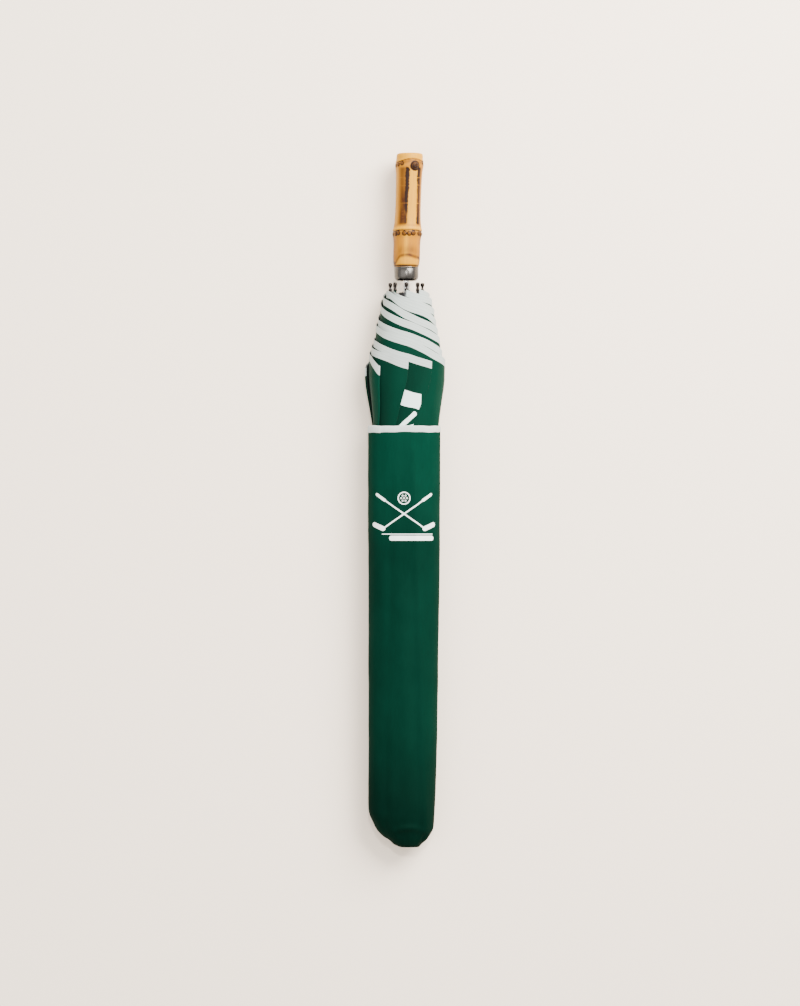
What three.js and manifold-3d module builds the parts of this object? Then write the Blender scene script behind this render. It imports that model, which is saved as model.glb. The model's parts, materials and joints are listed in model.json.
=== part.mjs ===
// Golf umbrella with a bamboo-root handle, rolled and tied in its slip-on sleeve.
// Millimetres, +Z up. The umbrella lies along Y with its handle at +Y, and rests on z = 0.
import * as THREE from 'three';
import { mergeVertices } from 'three/addons/utils/BufferGeometryUtils.js';
import Module from 'manifold-3d';

const wasm = await Module();
wasm.setup();

// ---- driving dimensions ----
const TOTAL_LENGTH = 950;
const SHAFT_HEIGHT = 31; // the shaft's axis above the floor
const GAP = 0.3; // between pieces that touch

const RIB_COUNT = 8;
const RIB_LENGTH = 711; // crown pivot to the tip of the rib
const LINK_LENGTH = 330; // crown pivot to rib joint, and rib joint to runner pivot
const PIVOT_RADIUS = 11; // of the wire ring in the crown and in the runner
const TIP_RADIUS = 22; // of the ring of rib tips when closed
const REST_ANGLE = Math.asin((TIP_RADIUS - PIVOT_RADIUS) / RIB_LENGTH);
const CROWN_Y = -414;
const RUNNER_Y = CROWN_Y + 2 * LINK_LENGTH * Math.cos(REST_ANGLE);

const SHAFT = { radius: 5, bore: 4.2, fit: 5.3, from: -445, to: 405 }; // fit: holes round it
const HANDLE = { from: 320, to: TOTAL_LENGTH / 2, bore: 5.4, depth: 407, lean: 0.023 };
const COLLAR = { from: 300, to: 319.7, radius: 16.6, wall: 1.1, mouth: 8, floor: 2.2 };
const WIRE = { radius: 0.6, hole: 0.95 };
const EYE = { radius: 2.2, thickness: 1.8, slot: 2.4, reach: 9 };
const ROD = { rib: 2.8, boss: 1.9, stretcher: 2.4 };
const FORK = { radius: 2.3, gap: 3.4, cheek: 0.8, reach: 14, drop: 3.2 }; // of a stretcher
const TIP = { length: 13.4, radius: 2.6, bead: 1.9, thickness: 2.4, eye: 0.7 };
const PIN = { radius: 0.65, head: 1.5, headHeight: 0.8 };
const HUB = { rim: 2.6, half: 4 }; // of the crown and the runner, round the pivot ring
const RUNNER = { length: 38, window: 22, tube: 8.2 }; // from its pivot ring towards the handle
const CATCH = { reach: 38, width: 3, nose: 3, slot: 4, slotLength: 12, back: 4, pin: 0.6, hole: 0.9 };
const HEM_Y = 286;
const GORE = { from: 14, short: 22, low: 2.1, high: 2.5, width: 2.8 }; // folded, along its rib
const ROLL = { end: -421, hole: 5.6, floor: 1.8, mouth: 14, room: 3.2 }; // room: round the ribs
const STRAP = { from: -72, to: -50, thickness: 1.1 };
const MOUTH_Y = 101; // of the sleeve
const BINDING = { width: 9, thickness: 1.4 };
const SLEEVE = { wall: 1, floorFrom: -471, floorTo: -473.6 };
const ROUND = 24; // sides of the big soft sections
const OPENING = (72 * Math.PI) / 180;
const OPEN_RUNNER_Y = CROWN_Y + 2 * LINK_LENGTH * Math.cos(REST_ANGLE + OPENING);
const CATCHES = [ // the nose's place on the shaft, and which way its leaf points
  { name: 'bottom_catch', y: RUNNER_Y + RUNNER.window, way: 1 },
  { name: 'top_catch', y: OPEN_RUNNER_Y + RUNNER.length + GAP + CATCH.back, way: -1 },
];

const COLOURS = {
  bamboo: [0xc08a3e, 0.45, 0],
  gunmetal: [0x5a5c60, 0.25, 1],
  steel: [0xb9bcc0, 0.25, 1],
  dark_steel: [0x3a3c3f, 0.35, 1],
  black_plastic: [0x1a1b1c, 0.5, 0],
  green_cloth: [0x114f3a, 0.65, 0],
  white_tape: [0xd8dbd8, 0.8, 0],
};

// ---- closed bodies ----

/** The geometry with positions only, shared vertices merged, no flat triangles, faces out. */
function closed(geometry) {
  const bare = geometry.index ? geometry.toNonIndexed() : geometry.clone();
  for (const name of Object.keys(bare.attributes)) {
    if (name !== 'position') bare.deleteAttribute(name);
  }
  const merged = mergeVertices(bare, 1e-4);
  const old = merged.index.array;
  const kept = [];
  for (let i = 0; i < old.length; i += 3) {
    const [a, b, c] = [old[i], old[i + 1], old[i + 2]];
    if (a !== b && b !== c && c !== a) kept.push(a, b, c);
  }
  const p = merged.attributes.position;
  const corner = [new THREE.Vector3(), new THREE.Vector3(), new THREE.Vector3()];
  let volume = 0;
  for (let i = 0; i < kept.length; i += 3) {
    corner.forEach((v, k) => v.fromBufferAttribute(p, kept[i + k]));
    volume += corner[0].dot(corner[1].cross(corner[2]));
  }
  if (volume < 0) kept.reverse();
  merged.setIndex(kept);
  return merged;
}

/** The geometry as a solid that can be joined and cut. */
function solid(geometry) {
  const g = closed(geometry);
  return new wasm.Manifold(new wasm.Mesh({
    numProp: 3,
    vertProperties: new Float32Array(g.attributes.position.array),
    triVerts: new Uint32Array(g.index.array),
  }));
}

/** The solid as a geometry. */
function shape(manifold) {
  const mesh = manifold.getMesh();
  const geometry = new THREE.BufferGeometry();
  geometry.setAttribute('position', new THREE.BufferAttribute(mesh.vertProperties, 3));
  geometry.setIndex(new THREE.BufferAttribute(mesh.triVerts, 1));
  return geometry;
}

/** All the geometries joined into one body, less the cuts. */
function joined(parts, cuts = []) {
  let whole = solid(parts[0]);
  for (const part of parts.slice(1)) whole = whole.add(solid(part));
  for (const cut of cuts) whole = whole.subtract(solid(cut));
  return shape(whole);
}

/** Rings of points skinned into a body, closed on itself or with a fan at each end. */
function skinned(rings, looped) {
  const points = rings.flat();
  const count = rings[0].length;
  const faces = [];
  const last = looped ? rings.length : rings.length - 1;
  for (let k = 0; k < last; k += 1) {
    const [here, next] = [k * count, ((k + 1) % rings.length) * count];
    for (let i = 0; i < count; i += 1) {
      const j = (i + 1) % count;
      faces.push(here + i, here + j, next + j, here + i, next + j, next + i);
    }
  }
  if (!looped) {
    for (const [first, way] of [[0, 1], [(rings.length - 1) * count, -1]]) {
      const middle = new THREE.Vector3();
      for (let i = 0; i < count; i += 1) middle.addScaledVector(points[first + i], 1 / count);
      points.push(middle);
      for (let i = 0; i < count; i += 1) {
        const [a, b] = [first + i, first + ((i + 1) % count)];
        faces.push(points.length - 1, way > 0 ? b : a, way > 0 ? a : b);
      }
    }
  }
  const geometry = new THREE.BufferGeometry().setFromPoints(points);
  geometry.setIndex(faces);
  return closed(geometry);
}

/** A turned body about the Y axis, from [radius, y] points that close on themselves or the axis. */
function turned(profile, sides = 20) {
  const points = profile.map(([r, y]) => new THREE.Vector2(r, y));
  const whole = profile[0][0] > 0;
  if (whole) points.push(points[0].clone());
  return closed(new THREE.LatheGeometry(points, sides));
}

/** A tube about the Y axis. */
function tube(inner, outer, from, to, sides = 20) {
  return turned([[inner, from], [outer, from], [outer, to], [inner, to]], sides);
}

/** A ring of round wire about the Y axis. */
function wireRing(radius, wire, y, sides = 5, steps = 24) {
  const ring = new THREE.TorusGeometry(radius, wire, sides, steps);
  ring.rotateX(Math.PI / 2);
  ring.translate(0, y, 0);
  return closed(ring);
}

/** A flat plate in the (along, out) plane, of the given thickness across, holes cut. */
function plate(outline, thickness, holes = []) {
  const flat = outline instanceof THREE.Shape ? outline : new THREE.Shape(outline);
  flat.holes.push(...holes);
  const geometry = new THREE.ExtrudeGeometry(flat, {
    depth: thickness,
    bevelEnabled: false,
    curveSegments: 4,
  });
  geometry.translate(0, 0, -thickness / 2);
  return geometry;
}

/** A round-ended lug in the (along, out) plane from one point to another. */
function lug(radius, from, to, endRadius) {
  const way = new THREE.Vector2().subVectors(to, from).angle();
  const outline = new THREE.Shape();
  outline.absarc(from.x, from.y, radius, way + Math.PI / 2, way + 1.5 * Math.PI, false);
  outline.lineTo(to.x + endRadius * Math.sin(way), to.y - endRadius * Math.cos(way));
  outline.lineTo(to.x - endRadius * Math.sin(way), to.y + endRadius * Math.cos(way));
  outline.closePath();
  return outline;
}

/** A pivot hole through a plate at the origin. */
function pivotHole() {
  return new THREE.Path().absarc(0, 0, WIRE.hole, 0, 2 * Math.PI, true);
}

/** A bar of square section from one point of the (along, out) plane to another. */
function bar(from, to, width, height = width) {
  const length = from.distanceTo(to);
  const geometry = new THREE.BoxGeometry(length, height, width);
  geometry.rotateZ(Math.atan2(to.y - from.y, to.x - from.x));
  geometry.translate((from.x + to.x) / 2, (from.y + to.y) / 2, 0);
  return geometry;
}

/** A point of the (along, out) plane. */
const at = (x, y) => new THREE.Vector2(x, y);

// ---- the soft outlines ----

/** Smooth value at y from a short list of [y, value] stations, in falling y. */
function along(stations, y) {
  const first = stations[0];
  const last = stations[stations.length - 1];
  if (y >= first[0]) return first[1];
  if (y <= last[0]) return last[1];
  const k = stations.findIndex(([station]) => station < y) - 1;
  const [[y0, v0], [y1, v1]] = [stations[k], stations[k + 1]];
  const t = (y - y0) / (y1 - y0);
  return v0 + (v1 - v0) * t * t * (3 - 2 * t);
}

const ROLL_WIDTH = [[286, 27.6], [258, 36], [206, 46.5], [171, 51.5], [101, 45], [60, 45.5],
  [-380, 40], [-412, 30], [-421, 19]];
const ROLL_HEIGHT = [[286, 27.2], [206, 30.5], [171, 31], [101, 28], [-380, 27.6], [-412, 23],
  [-421, 18]];
const SLEEVE_WIDTH = [[MOUTH_Y, 49], [-100, 48.6], [-355, 45.6], [-418, 43], [-450, 37],
  [-466, 23], [-475, 10.5]];
const SLEEVE_HEIGHT = [[MOUTH_Y, 31], [-400, 31], [-440, 26], [-466, 15], [-475, 8]];

/** A flattened round section at y: soft shoulders, flat on top and where it lies. */
function softRing(y, halfWidth, halfHeight) {
  const ring = [];
  for (let i = 0; i < ROUND; i += 1) {
    const angle = (2 * Math.PI * i) / ROUND;
    const [c, s] = [Math.cos(angle), Math.sin(angle)];
    const x = halfWidth * Math.sign(c) * Math.abs(c) ** 0.85;
    const z = halfHeight * 1.06 * Math.sign(s) * Math.abs(s) ** 0.85;
    ring.push(new THREE.Vector3(x, y, THREE.MathUtils.clamp(z, -halfHeight, halfHeight)));
  }
  return ring;
}

/** A round section at y. */
function roundRing(y, radius) {
  const ring = [];
  for (let i = 0; i < ROUND; i += 1) {
    const angle = (2 * Math.PI * i) / ROUND;
    ring.push(new THREE.Vector3(radius * Math.cos(angle), y, radius * Math.sin(angle)));
  }
  return ring;
}

/** The radius of the rib line at y when the umbrella is closed. */
const ribRadius = (y) => PIVOT_RADIUS + (y - CROWN_Y) * Math.tan(REST_ANGLE);

/** The rolled canopy's section at y, grown outwards. */
function rollRing(y, out = 0) {
  return softRing(y, along(ROLL_WIDTH, y) + out, along(ROLL_HEIGHT, y) + out);
}

/** The sleeve's section at y, grown outwards. */
function sleeveRing(y, out = 0) {
  return softRing(y, along(SLEEVE_WIDTH, y) + out, along(SLEEVE_HEIGHT, y) + out);
}

// ---- the model ----

const umbrella = new THREE.Group();
umbrella.position.z = SHAFT_HEIGHT;

/** Adds one named sub-part to its group. */
function piece(name, geometry, colour, parent = umbrella) {
  const [tint, roughness, metalness] = COLOURS[colour];
  const material = new THREE.MeshStandardMaterial({ color: tint, roughness, metalness });
  const mesh = new THREE.Mesh(geometry, material);
  mesh.name = name;
  parent.add(mesh);
}

/** The root-bamboo grip: it leans a little off its straight bore, as the root grew. */
function handleGrip() {
  const { from, to, bore, depth, lean } = HANDLE;
  const grip = turned([
    [bore, 303.5], [15.1, 303.5], [15.1, 320.3], [17, 321], [18, 329], [18.2, 345],
    [18.6, 352], [19.6, 358], [20, 363], [19.3, 367.5], [18.4, 372], [17.6, 386],
    [17.3, 405], [17.7, 432], [18.6, 450], [19.6, 456], [19.7, 460], [18.4, 463.5],
    [18.1, 470], [17.4, 473.6], [14, to], [0, to], [0, depth], [bore, depth],
  ]);
  const p = grip.attributes.position;
  for (let i = 0; i < p.count; i += 1) {
    const inBore = Math.hypot(p.getX(i), p.getZ(i)) < bore + GAP && p.getY(i) < depth + GAP;
    const shift = inBore ? 0 : lean * Math.max(0, p.getY(i) - from);
    p.setX(i, p.getX(i) + shift);
  }
  return grip;
}

/** The collar: a thin drawn cup with a rolled lower edge that hides the handle's end. */
function handleCollar() {
  const { from, to, radius, wall, mouth, floor } = COLLAR;
  return turned([
    [mouth, from], [radius - 3, from], [radius - 0.8, from + 1], [radius, from + 4],
    [radius, to], [radius - wall, to], [radius - wall, from + floor + 1],
    [radius - 3, from + floor], [mouth, from + floor],
  ]);
}

/** The bush in the collar's mouth. */
function collarLiner() {
  const { from, mouth } = COLLAR;
  return tube(SHAFT.fit, mouth - GAP, from + 0.4, from + 3.2);
}

/** The shaft: a steel tube with a slot and a cross hole for each catch. */
function shaftTube() {
  const { radius, bore, from, to } = SHAFT;
  const cuts = CATCHES.flatMap(({ y, way }) => {
    const slot = new THREE.BoxGeometry(CATCH.slot, CATCH.slotLength, 6);
    slot.translate(0, y, radius);
    const hole = new THREE.CylinderGeometry(CATCH.hole, CATCH.hole, 3 * radius, 8);
    hole.rotateZ(Math.PI / 2);
    hole.translate(0, y - way * CATCH.reach, 0);
    return [slot, hole];
  });
  return joined([tube(bore, radius, from, to)], cuts);
}

/** A notched hub that holds eight pivot eyes on a wire ring. */
function notchedHub(y, extras, cuts) {
  const { rim, half } = HUB;
  const slots = [];
  for (let i = 0; i < RIB_COUNT; i += 1) {
    const slot = new THREE.BoxGeometry(8, 3 * half, EYE.slot);
    slot.translate(PIVOT_RADIUS + 1, y, 0);
    slot.rotateY((-2 * Math.PI * i) / RIB_COUNT);
    slots.push(slot);
  }
  const hub = tube(SHAFT.fit, PIVOT_RADIUS + rim, y - half, y + half);
  const channel = wireRing(PIVOT_RADIUS, WIRE.hole, y, 6);
  return joined([hub, ...extras], [...slots, channel, ...cuts]);
}

/** The runner: hub, tube, thumb flange and the window that the lower catch snaps into. */
function runner() {
  const y = RUNNER_Y;
  const end = y + RUNNER.length;
  const windowCut = new THREE.BoxGeometry(CATCH.slot + 1, CATCH.slotLength, 8);
  windowCut.translate(0, y + RUNNER.window, 8);
  const { fit } = SHAFT;
  const parts = [
    tube(fit, RUNNER.tube, y + 2, end - 2),
    turned([[fit, end - 8], [9.6, end - 7.4], [10.8, end - 5], [10.4, end], [fit, end]]),
  ];
  return notchedHub(y, parts, [windowCut]);
}

/** A sprung catch in the shaft: eye on its pin, leaf and thumb nose. */
function catchLeaf() {
  const { reach, width, nose, back } = CATCH;
  const leaf = plate(lug(2, at(0, 0), at(reach + back, 1.6), 0.5), width, [
    new THREE.Path().absarc(0, 0, CATCH.hole, 0, 2 * Math.PI, true),
  ]);
  const top = SHAFT.radius + nose;
  const thumb = plate([
    at(reach - 4.6, 1.2), at(reach + back, 1.4), at(reach + back, top - 0.8),
    at(reach + back - 0.8, top), at(reach + back - 2.4, top),
  ], width);
  return joined([leaf, thumb]);
}

/** A rib in its own plane: eye at the origin, rod out along X to its tip. */
function rib() {
  const neck = lug(EYE.radius, at(0, 0), at(EYE.reach, 0), ROD.rib / 2);
  const eye = plate(neck, EYE.thickness, [pivotHole()]);
  const rod = bar(at(EYE.reach - 1, 0), at(RIB_LENGTH - 6.5, 0), ROD.rib);
  const boss = plate(new THREE.Shape().absarc(LINK_LENGTH, 0, ROD.boss, 0, 2 * Math.PI), ROD.rib);
  const pinHole = new THREE.CylinderGeometry(WIRE.hole, WIRE.hole, 2 * ROD.rib, 8);
  pinHole.rotateX(Math.PI / 2);
  pinHole.translate(LINK_LENGTH, 0, 0);
  return joined([eye, rod, boss], [pinHole]);
}

/** A rib's end cap: a socket on the rod and a bead with the eye that the canopy is sewn to. */
function ribTip() {
  const { length, radius, bead, thickness, eye } = TIP;
  const bore = radius - 0.35;
  const socket = turned([
    [0, 0.4], [1.2, 0.6], [1.5, 3], [radius, 4.6], [radius, length], [bore, length], [bore, 5.5],
    [0, 5.5],
  ], 10);
  socket.rotateZ(Math.PI / 2);
  socket.translate(RIB_LENGTH, 0, 0);
  const disc = (size) => new THREE.Shape().absarc(RIB_LENGTH - bead, 0, size, 0, 2 * Math.PI);
  return joined([socket, plate(disc(bead), thickness)], [plate(disc(eye), 3 * bead)]);
}

/** A headed pin across the rib and the stretcher's fork. */
function ribPin() {
  const { radius, head, headHeight } = PIN;
  const half = FORK.gap / 2 + FORK.cheek + GAP;
  const end = half + headHeight;
  const pin = turned([
    [0, -end], [head, -end], [head, -half], [radius, -half], [radius, half], [head, half],
    [head, end], [0, end],
  ], 8);
  pin.rotateX(Math.PI / 2);
  return pin;
}

/** A stretcher: fork on the rib's pin at the origin, rod along X, eye at the runner. */
function stretcher() {
  const { radius, gap, cheek, reach, drop } = FORK;
  const middle = gap / 2 + cheek / 2;
  const parts = [-middle, middle].map((across) => {
    const side = plate(lug(radius, at(0, 0), at(reach, -drop), 1.4), cheek, [pivotHole()]);
    side.translate(0, 0, across);
    return side;
  });
  const rod = ROD.stretcher;
  parts.push(bar(at(reach - 2.5, -drop), at(reach + 1, -drop), gap + 2 * cheek, rod));
  parts.push(bar(at(reach, -drop), at(LINK_LENGTH - EYE.reach + 1, 0), rod));
  const neck = lug(EYE.radius, at(0, 0), at(EYE.reach, 0), rod / 2);
  const eye = plate(neck, EYE.thickness, [pivotHole()]);
  eye.rotateZ(Math.PI);
  eye.translate(LINK_LENGTH, 0, 0);
  parts.push(eye);
  return joined(parts);
}

/** One canopy panel as it lies folded along its rib. */
function foldedGore() {
  const { from, low, high, width } = GORE;
  const to = RIB_LENGTH - GORE.short;
  return plate([at(from, low), at(to, low), at(to, high), at(from, high)], width);
}

/** The rolled canopy: a thick soft shell from the crown to the hem, round the ribs. */
function canopyRoll() {
  const outerAt = [HEM_Y, 272, 258, 232, 206, 189, 171, 136, 101, 60, -380, -400, -412, ROLL.end];
  const outer = outerAt.map((y) => rollRing(y));
  const { end, hole, floor, mouth, room } = ROLL;
  const inner = [roundRing(end, hole), roundRing(end + floor, hole), roundRing(end + floor, mouth)];
  for (const y of [-380, HEM_Y]) inner.push(roundRing(y, ribRadius(y) + room));
  return skinned([...outer, ...inner], true);
}

/** The tie strap, closed round the roll. */
function tieStrap() {
  const { from, to, thickness } = STRAP;
  const rings = [[from, GAP], [from, thickness], [to, thickness], [to, GAP]];
  return skinned(rings.map(([y, out]) => rollRing(y, out)), true);
}

/** The sleeve: a long soft bag, open at the handle end, flat where it lies. */
function sleeveBody() {
  const { wall, floorFrom, floorTo } = SLEEVE;
  const mouth = MOUTH_Y - BINDING.width;
  const outerAt = [-475, floorFrom, -466, -458, -450, -434, -418, -386, -355, -100, mouth];
  const outer = outerAt.map((y) => sleeveRing(y));
  const innerAt = outerAt.slice(1).reverse();
  const inner = innerAt.map((y) => sleeveRing(y === floorFrom ? floorTo : y, -wall));
  return skinned([...outer, ...inner], false);
}

/** The tape bound round the sleeve's mouth. */
function sleeveBinding() {
  const { width, thickness } = BINDING;
  const from = MOUTH_Y - width + GAP;
  const rings = [[from, -thickness], [from, 0], [MOUTH_Y, 0], [MOUTH_Y, -thickness]];
  return skinned(rings.map(([y, out]) => sleeveRing(y, out)), true);
}

/** The washer that holds the cloth to the crown. */
function canopyCap() {
  const [top, foot] = [-421.4, -424.4];
  return turned([
    [SHAFT.fit, top], [16.6, top], [17, top - 1.2], [12, foot], [SHAFT.fit, foot],
  ]);
}

/** The ferrule beyond the cap: a blunt spike pushed over the shaft's end. */
function spike() {
  const [top, seat] = [-424.8, -446];
  return turned([
    [SHAFT.fit, top], [8, top], [8.2, top - 3.2], [7.2, seat], [5, -466], [3.4, -470.4],
    [0, -471.6], [0, seat], [SHAFT.fit, seat],
  ]);
}

// ---- assembly ----

piece('handle_grip', handleGrip(), 'bamboo');
piece('handle_collar', handleCollar(), 'gunmetal');
piece('collar_liner', collarLiner(), 'black_plastic');
piece('shaft', shaftTube(), 'steel');
for (const { name, y, way } of CATCHES) {
  const leaf = catchLeaf();
  leaf.rotateX(Math.PI / 2);
  leaf.rotateZ(Math.PI / 2);
  const seat = new THREE.Group();
  seat.position.y = y - way * CATCH.reach;
  seat.rotation.z = way > 0 ? 0 : Math.PI;
  umbrella.add(seat);
  piece(name, leaf, 'steel', seat);
  const pin = new THREE.CylinderGeometry(CATCH.pin, CATCH.pin, 2 * SHAFT.radius - 0.4, 8);
  pin.rotateZ(Math.PI / 2);
  piece(`${name}_pin`, pin, 'dark_steel', seat);
}

piece('crown_notch', notchedHub(CROWN_Y, [], []), 'black_plastic');
piece('crown_wire', wireRing(PIVOT_RADIUS, WIRE.radius, CROWN_Y), 'dark_steel');
piece('runner', runner(), 'black_plastic');
piece('runner_wire', wireRing(PIVOT_RADIUS, WIRE.radius, RUNNER_Y), 'dark_steel');
piece('canopy_cap', canopyCap(), 'black_plastic');
piece('spike', spike(), 'gunmetal');

for (let i = 0; i < RIB_COUNT; i += 1) {
  // in a rib's own frame X runs along the rib, Y points out from the shaft, Z across
  const spoke = new THREE.Group();
  spoke.rotation.y = (-2 * Math.PI * i) / RIB_COUNT;
  umbrella.add(spoke);
  const arm = new THREE.Group();
  arm.position.set(PIVOT_RADIUS, CROWN_Y, 0);
  arm.rotation.set(Math.PI, 0, REST_ANGLE - Math.PI / 2);
  spoke.add(arm);
  piece(`rib_${i + 1}`, rib(), 'dark_steel', arm);
  piece(`rib_tip_${i + 1}`, ribTip(), 'dark_steel', arm);
  piece(`gore_${i + 1}`, foldedGore(), 'green_cloth', arm);
  const joint = new THREE.Group();
  joint.position.x = LINK_LENGTH;
  arm.add(joint);
  piece(`rib_pin_${i + 1}`, ribPin(), 'steel', joint);
  const link = new THREE.Group();
  link.rotation.z = -2 * REST_ANGLE;
  joint.add(link);
  piece(`stretcher_${i + 1}`, stretcher(), 'dark_steel', link);
}

piece('canopy_roll', canopyRoll(), 'green_cloth');
piece('tie_strap', tieStrap(), 'green_cloth');
piece('sleeve_body', sleeveBody(), 'green_cloth');
piece('sleeve_binding', sleeveBinding(), 'white_tape');

const model = new THREE.Group();
model.add(umbrella);

export default model;
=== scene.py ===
"""A closed golf umbrella: root-bamboo handle, rolled canopy with pale borders, slip-on sleeve.

Metres throughout. The umbrella lies along Y with its handle at +Y, on the floor at z = 0.
"""

import json
import logging
import math
from dataclasses import dataclass
from enum import Enum

import bpy
import numpy as np
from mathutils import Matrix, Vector, noise


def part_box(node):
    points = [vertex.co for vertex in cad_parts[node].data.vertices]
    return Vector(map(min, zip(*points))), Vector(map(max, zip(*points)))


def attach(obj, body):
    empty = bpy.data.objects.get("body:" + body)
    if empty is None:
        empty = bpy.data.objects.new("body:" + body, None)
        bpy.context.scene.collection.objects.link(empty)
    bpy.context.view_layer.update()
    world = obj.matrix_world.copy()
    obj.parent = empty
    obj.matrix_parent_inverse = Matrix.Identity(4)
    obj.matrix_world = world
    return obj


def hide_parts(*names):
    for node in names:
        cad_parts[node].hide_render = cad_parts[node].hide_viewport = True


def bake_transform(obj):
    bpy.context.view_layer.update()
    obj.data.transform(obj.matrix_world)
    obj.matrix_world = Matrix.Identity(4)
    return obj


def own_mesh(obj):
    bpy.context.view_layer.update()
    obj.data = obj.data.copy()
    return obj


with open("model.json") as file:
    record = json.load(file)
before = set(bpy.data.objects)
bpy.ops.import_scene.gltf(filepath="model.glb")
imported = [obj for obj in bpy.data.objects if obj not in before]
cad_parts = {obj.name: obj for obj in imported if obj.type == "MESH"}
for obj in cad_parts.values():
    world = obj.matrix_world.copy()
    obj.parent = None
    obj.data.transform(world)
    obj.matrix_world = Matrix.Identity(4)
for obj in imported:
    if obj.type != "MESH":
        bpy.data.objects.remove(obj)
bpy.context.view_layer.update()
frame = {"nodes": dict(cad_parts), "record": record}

log = logging.getLogger("umbrella")

Colour = tuple[float, float, float]
Point = tuple[float, float, float]
Stations = tuple[tuple[float, float], ...]
Array = np.ndarray
Piece = bpy.types.Object
Material = bpy.types.Material
Socket = bpy.types.NodeSocket

RIBS = 8


# ---- places that come from the frame ----


@dataclass(frozen=True)
class Places:
    """Heights and stations along the umbrella, read from the frame's own pieces."""

    shaft_z: float
    shaft_radius: float
    handle_end: float
    handle_foot: float
    collar_end: float
    mouth: float
    crown: float

    @classmethod
    def from_frame(cls) -> "Places":
        """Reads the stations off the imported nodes.

        Returns:
            The stations along Y and the shaft's height, in metres.
        """
        low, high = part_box("shaft")
        crown_low, crown_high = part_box("crown_notch")
        return cls(
            shaft_z=(low[2] + high[2]) / 2,
            shaft_radius=(high[2] - low[2]) / 2,
            handle_end=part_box("handle_grip")[1][1],
            handle_foot=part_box("handle_collar")[1][1],
            collar_end=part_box("handle_collar")[0][1],
            mouth=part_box("sleeve_binding")[1][1],
            crown=(crown_low[1] + crown_high[1]) / 2,
        )


PLACES = Places.from_frame()


# ---- small helpers ----


def eased(x: Array, low: float, high: float) -> Array:
    """How far x has gone from low to high, from 0 to 1, with soft ends."""
    t = np.clip((x - low) / (high - low), 0, 1)
    return t * t * (3 - 2 * t)


def hump(x: Array, width: float) -> Array:
    """A soft hump: 1 where x is 0, next to nothing beyond two widths."""
    return np.exp(-((x / width) ** 2))


def smooth_curve(stations: Stations, at: Array) -> Array:
    """A smooth line through (place, value) stations, with no overshoot.

    Args:
        stations: Places in rising order, and the value at each.
        at: Where to read the line.

    Returns:
        The value at each place.
    """
    xs = np.array([s[0] for s in stations])
    ys = np.array([s[1] for s in stations])
    steps = np.diff(ys) / np.diff(xs)
    slope = np.zeros_like(ys)
    slope[0], slope[-1] = steps[0], steps[-1]
    for i in range(1, len(xs) - 1):
        before, after = steps[i - 1], steps[i]
        if before * after > 0:
            slope[i] = 2 * before * after / (before + after)
    k = np.clip(np.searchsorted(xs, at) - 1, 0, len(xs) - 2)
    width = xs[k + 1] - xs[k]
    t = np.clip((at - xs[k]) / width, 0, 1)
    return (
        (2 * t**3 - 3 * t**2 + 1) * ys[k]
        + (t**3 - 2 * t**2 + t) * width * slope[k]
        + (-2 * t**3 + 3 * t**2) * ys[k + 1]
        + (t**3 - t**2) * width * slope[k + 1]
    )


def clear_selection() -> None:
    """Leaves nothing selected and nothing active, in object mode."""
    if bpy.context.mode != "OBJECT":
        bpy.ops.object.mode_set(mode="OBJECT")
    bpy.ops.object.select_all(action="DESELECT")
    bpy.context.view_layer.objects.active = None


def make_active(piece: Piece) -> None:
    """Selects one piece alone."""
    clear_selection()
    piece.select_set(True)
    bpy.context.view_layer.objects.active = piece


def apply_place(piece: Piece) -> None:
    """Moves the piece's place, turn and scale into its mesh."""
    make_active(piece)
    bpy.ops.object.transform_apply(location=True, rotation=True, scale=True)


def add_modifier(piece: Piece, kind: str, **settings: object) -> None:
    """Adds a modifier and applies it.

    Args:
        piece: The mesh to change.
        kind: The modifier's type, such as "BEVEL".
        **settings: Its properties.
    """
    make_active(piece)
    modifier = piece.modifiers.new(kind.lower(), kind)
    for name, value in settings.items():
        setattr(modifier, name, value)
    bpy.ops.object.modifier_apply(modifier=modifier.name)


def smooth(piece: Piece, angle: float) -> None:
    """Shades smooth, except over edges sharper than angle degrees."""
    make_active(piece)
    bpy.ops.object.shade_smooth_by_angle(angle=math.radians(angle))


def outward(piece: Piece) -> None:
    """Merges doubles and turns every face outwards."""
    make_active(piece)
    bpy.ops.object.mode_set(mode="EDIT")
    bpy.ops.mesh.select_all(action="SELECT")
    bpy.ops.mesh.remove_doubles(threshold=1e-6)
    bpy.ops.mesh.normals_make_consistent(inside=False)
    bpy.ops.object.mode_set(mode="OBJECT")


def turned(name: str, profile: list, sides: int, angle: float = 0.0) -> Piece:
    """A turned piece about the shaft's axis, drawn out ring by ring from a circle.

    Args:
        name: The piece's name.
        profile: (radius, y) of each ring in turn. A radius of 0 closes that end.
        sides: Points round each ring.
        angle: The sharpest edge, in degrees, that is shaded smooth; 0 leaves the piece flat.

    Returns:
        The piece, in place.
    """
    clear_selection()
    point = 1e-5
    radius, y = max(profile[0][0], point), profile[0][1]
    bpy.ops.mesh.primitive_circle_add(
        vertices=sides, radius=radius, location=(0, y, PLACES.shaft_z), rotation=(math.pi / 2, 0, 0)
    )
    piece = bpy.context.object
    piece.name = name
    bpy.ops.object.mode_set(mode="EDIT")
    bpy.ops.mesh.select_all(action="SELECT")
    for next_radius, next_y in profile[1:]:
        bpy.ops.mesh.extrude_region_move(TRANSFORM_OT_translate={"value": (0, next_y - y, 0)})
        grow = max(next_radius, point) / radius
        bpy.ops.transform.resize(value=(grow, grow, grow), center_override=(0, next_y, PLACES.shaft_z))
        radius, y = max(next_radius, point), next_y
    bpy.ops.object.mode_set(mode="OBJECT")
    apply_place(piece)
    add_modifier(piece, "WELD", merge_threshold=4e-5)
    outward(piece)
    if angle:
        smooth(piece, angle)
    return piece


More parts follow.
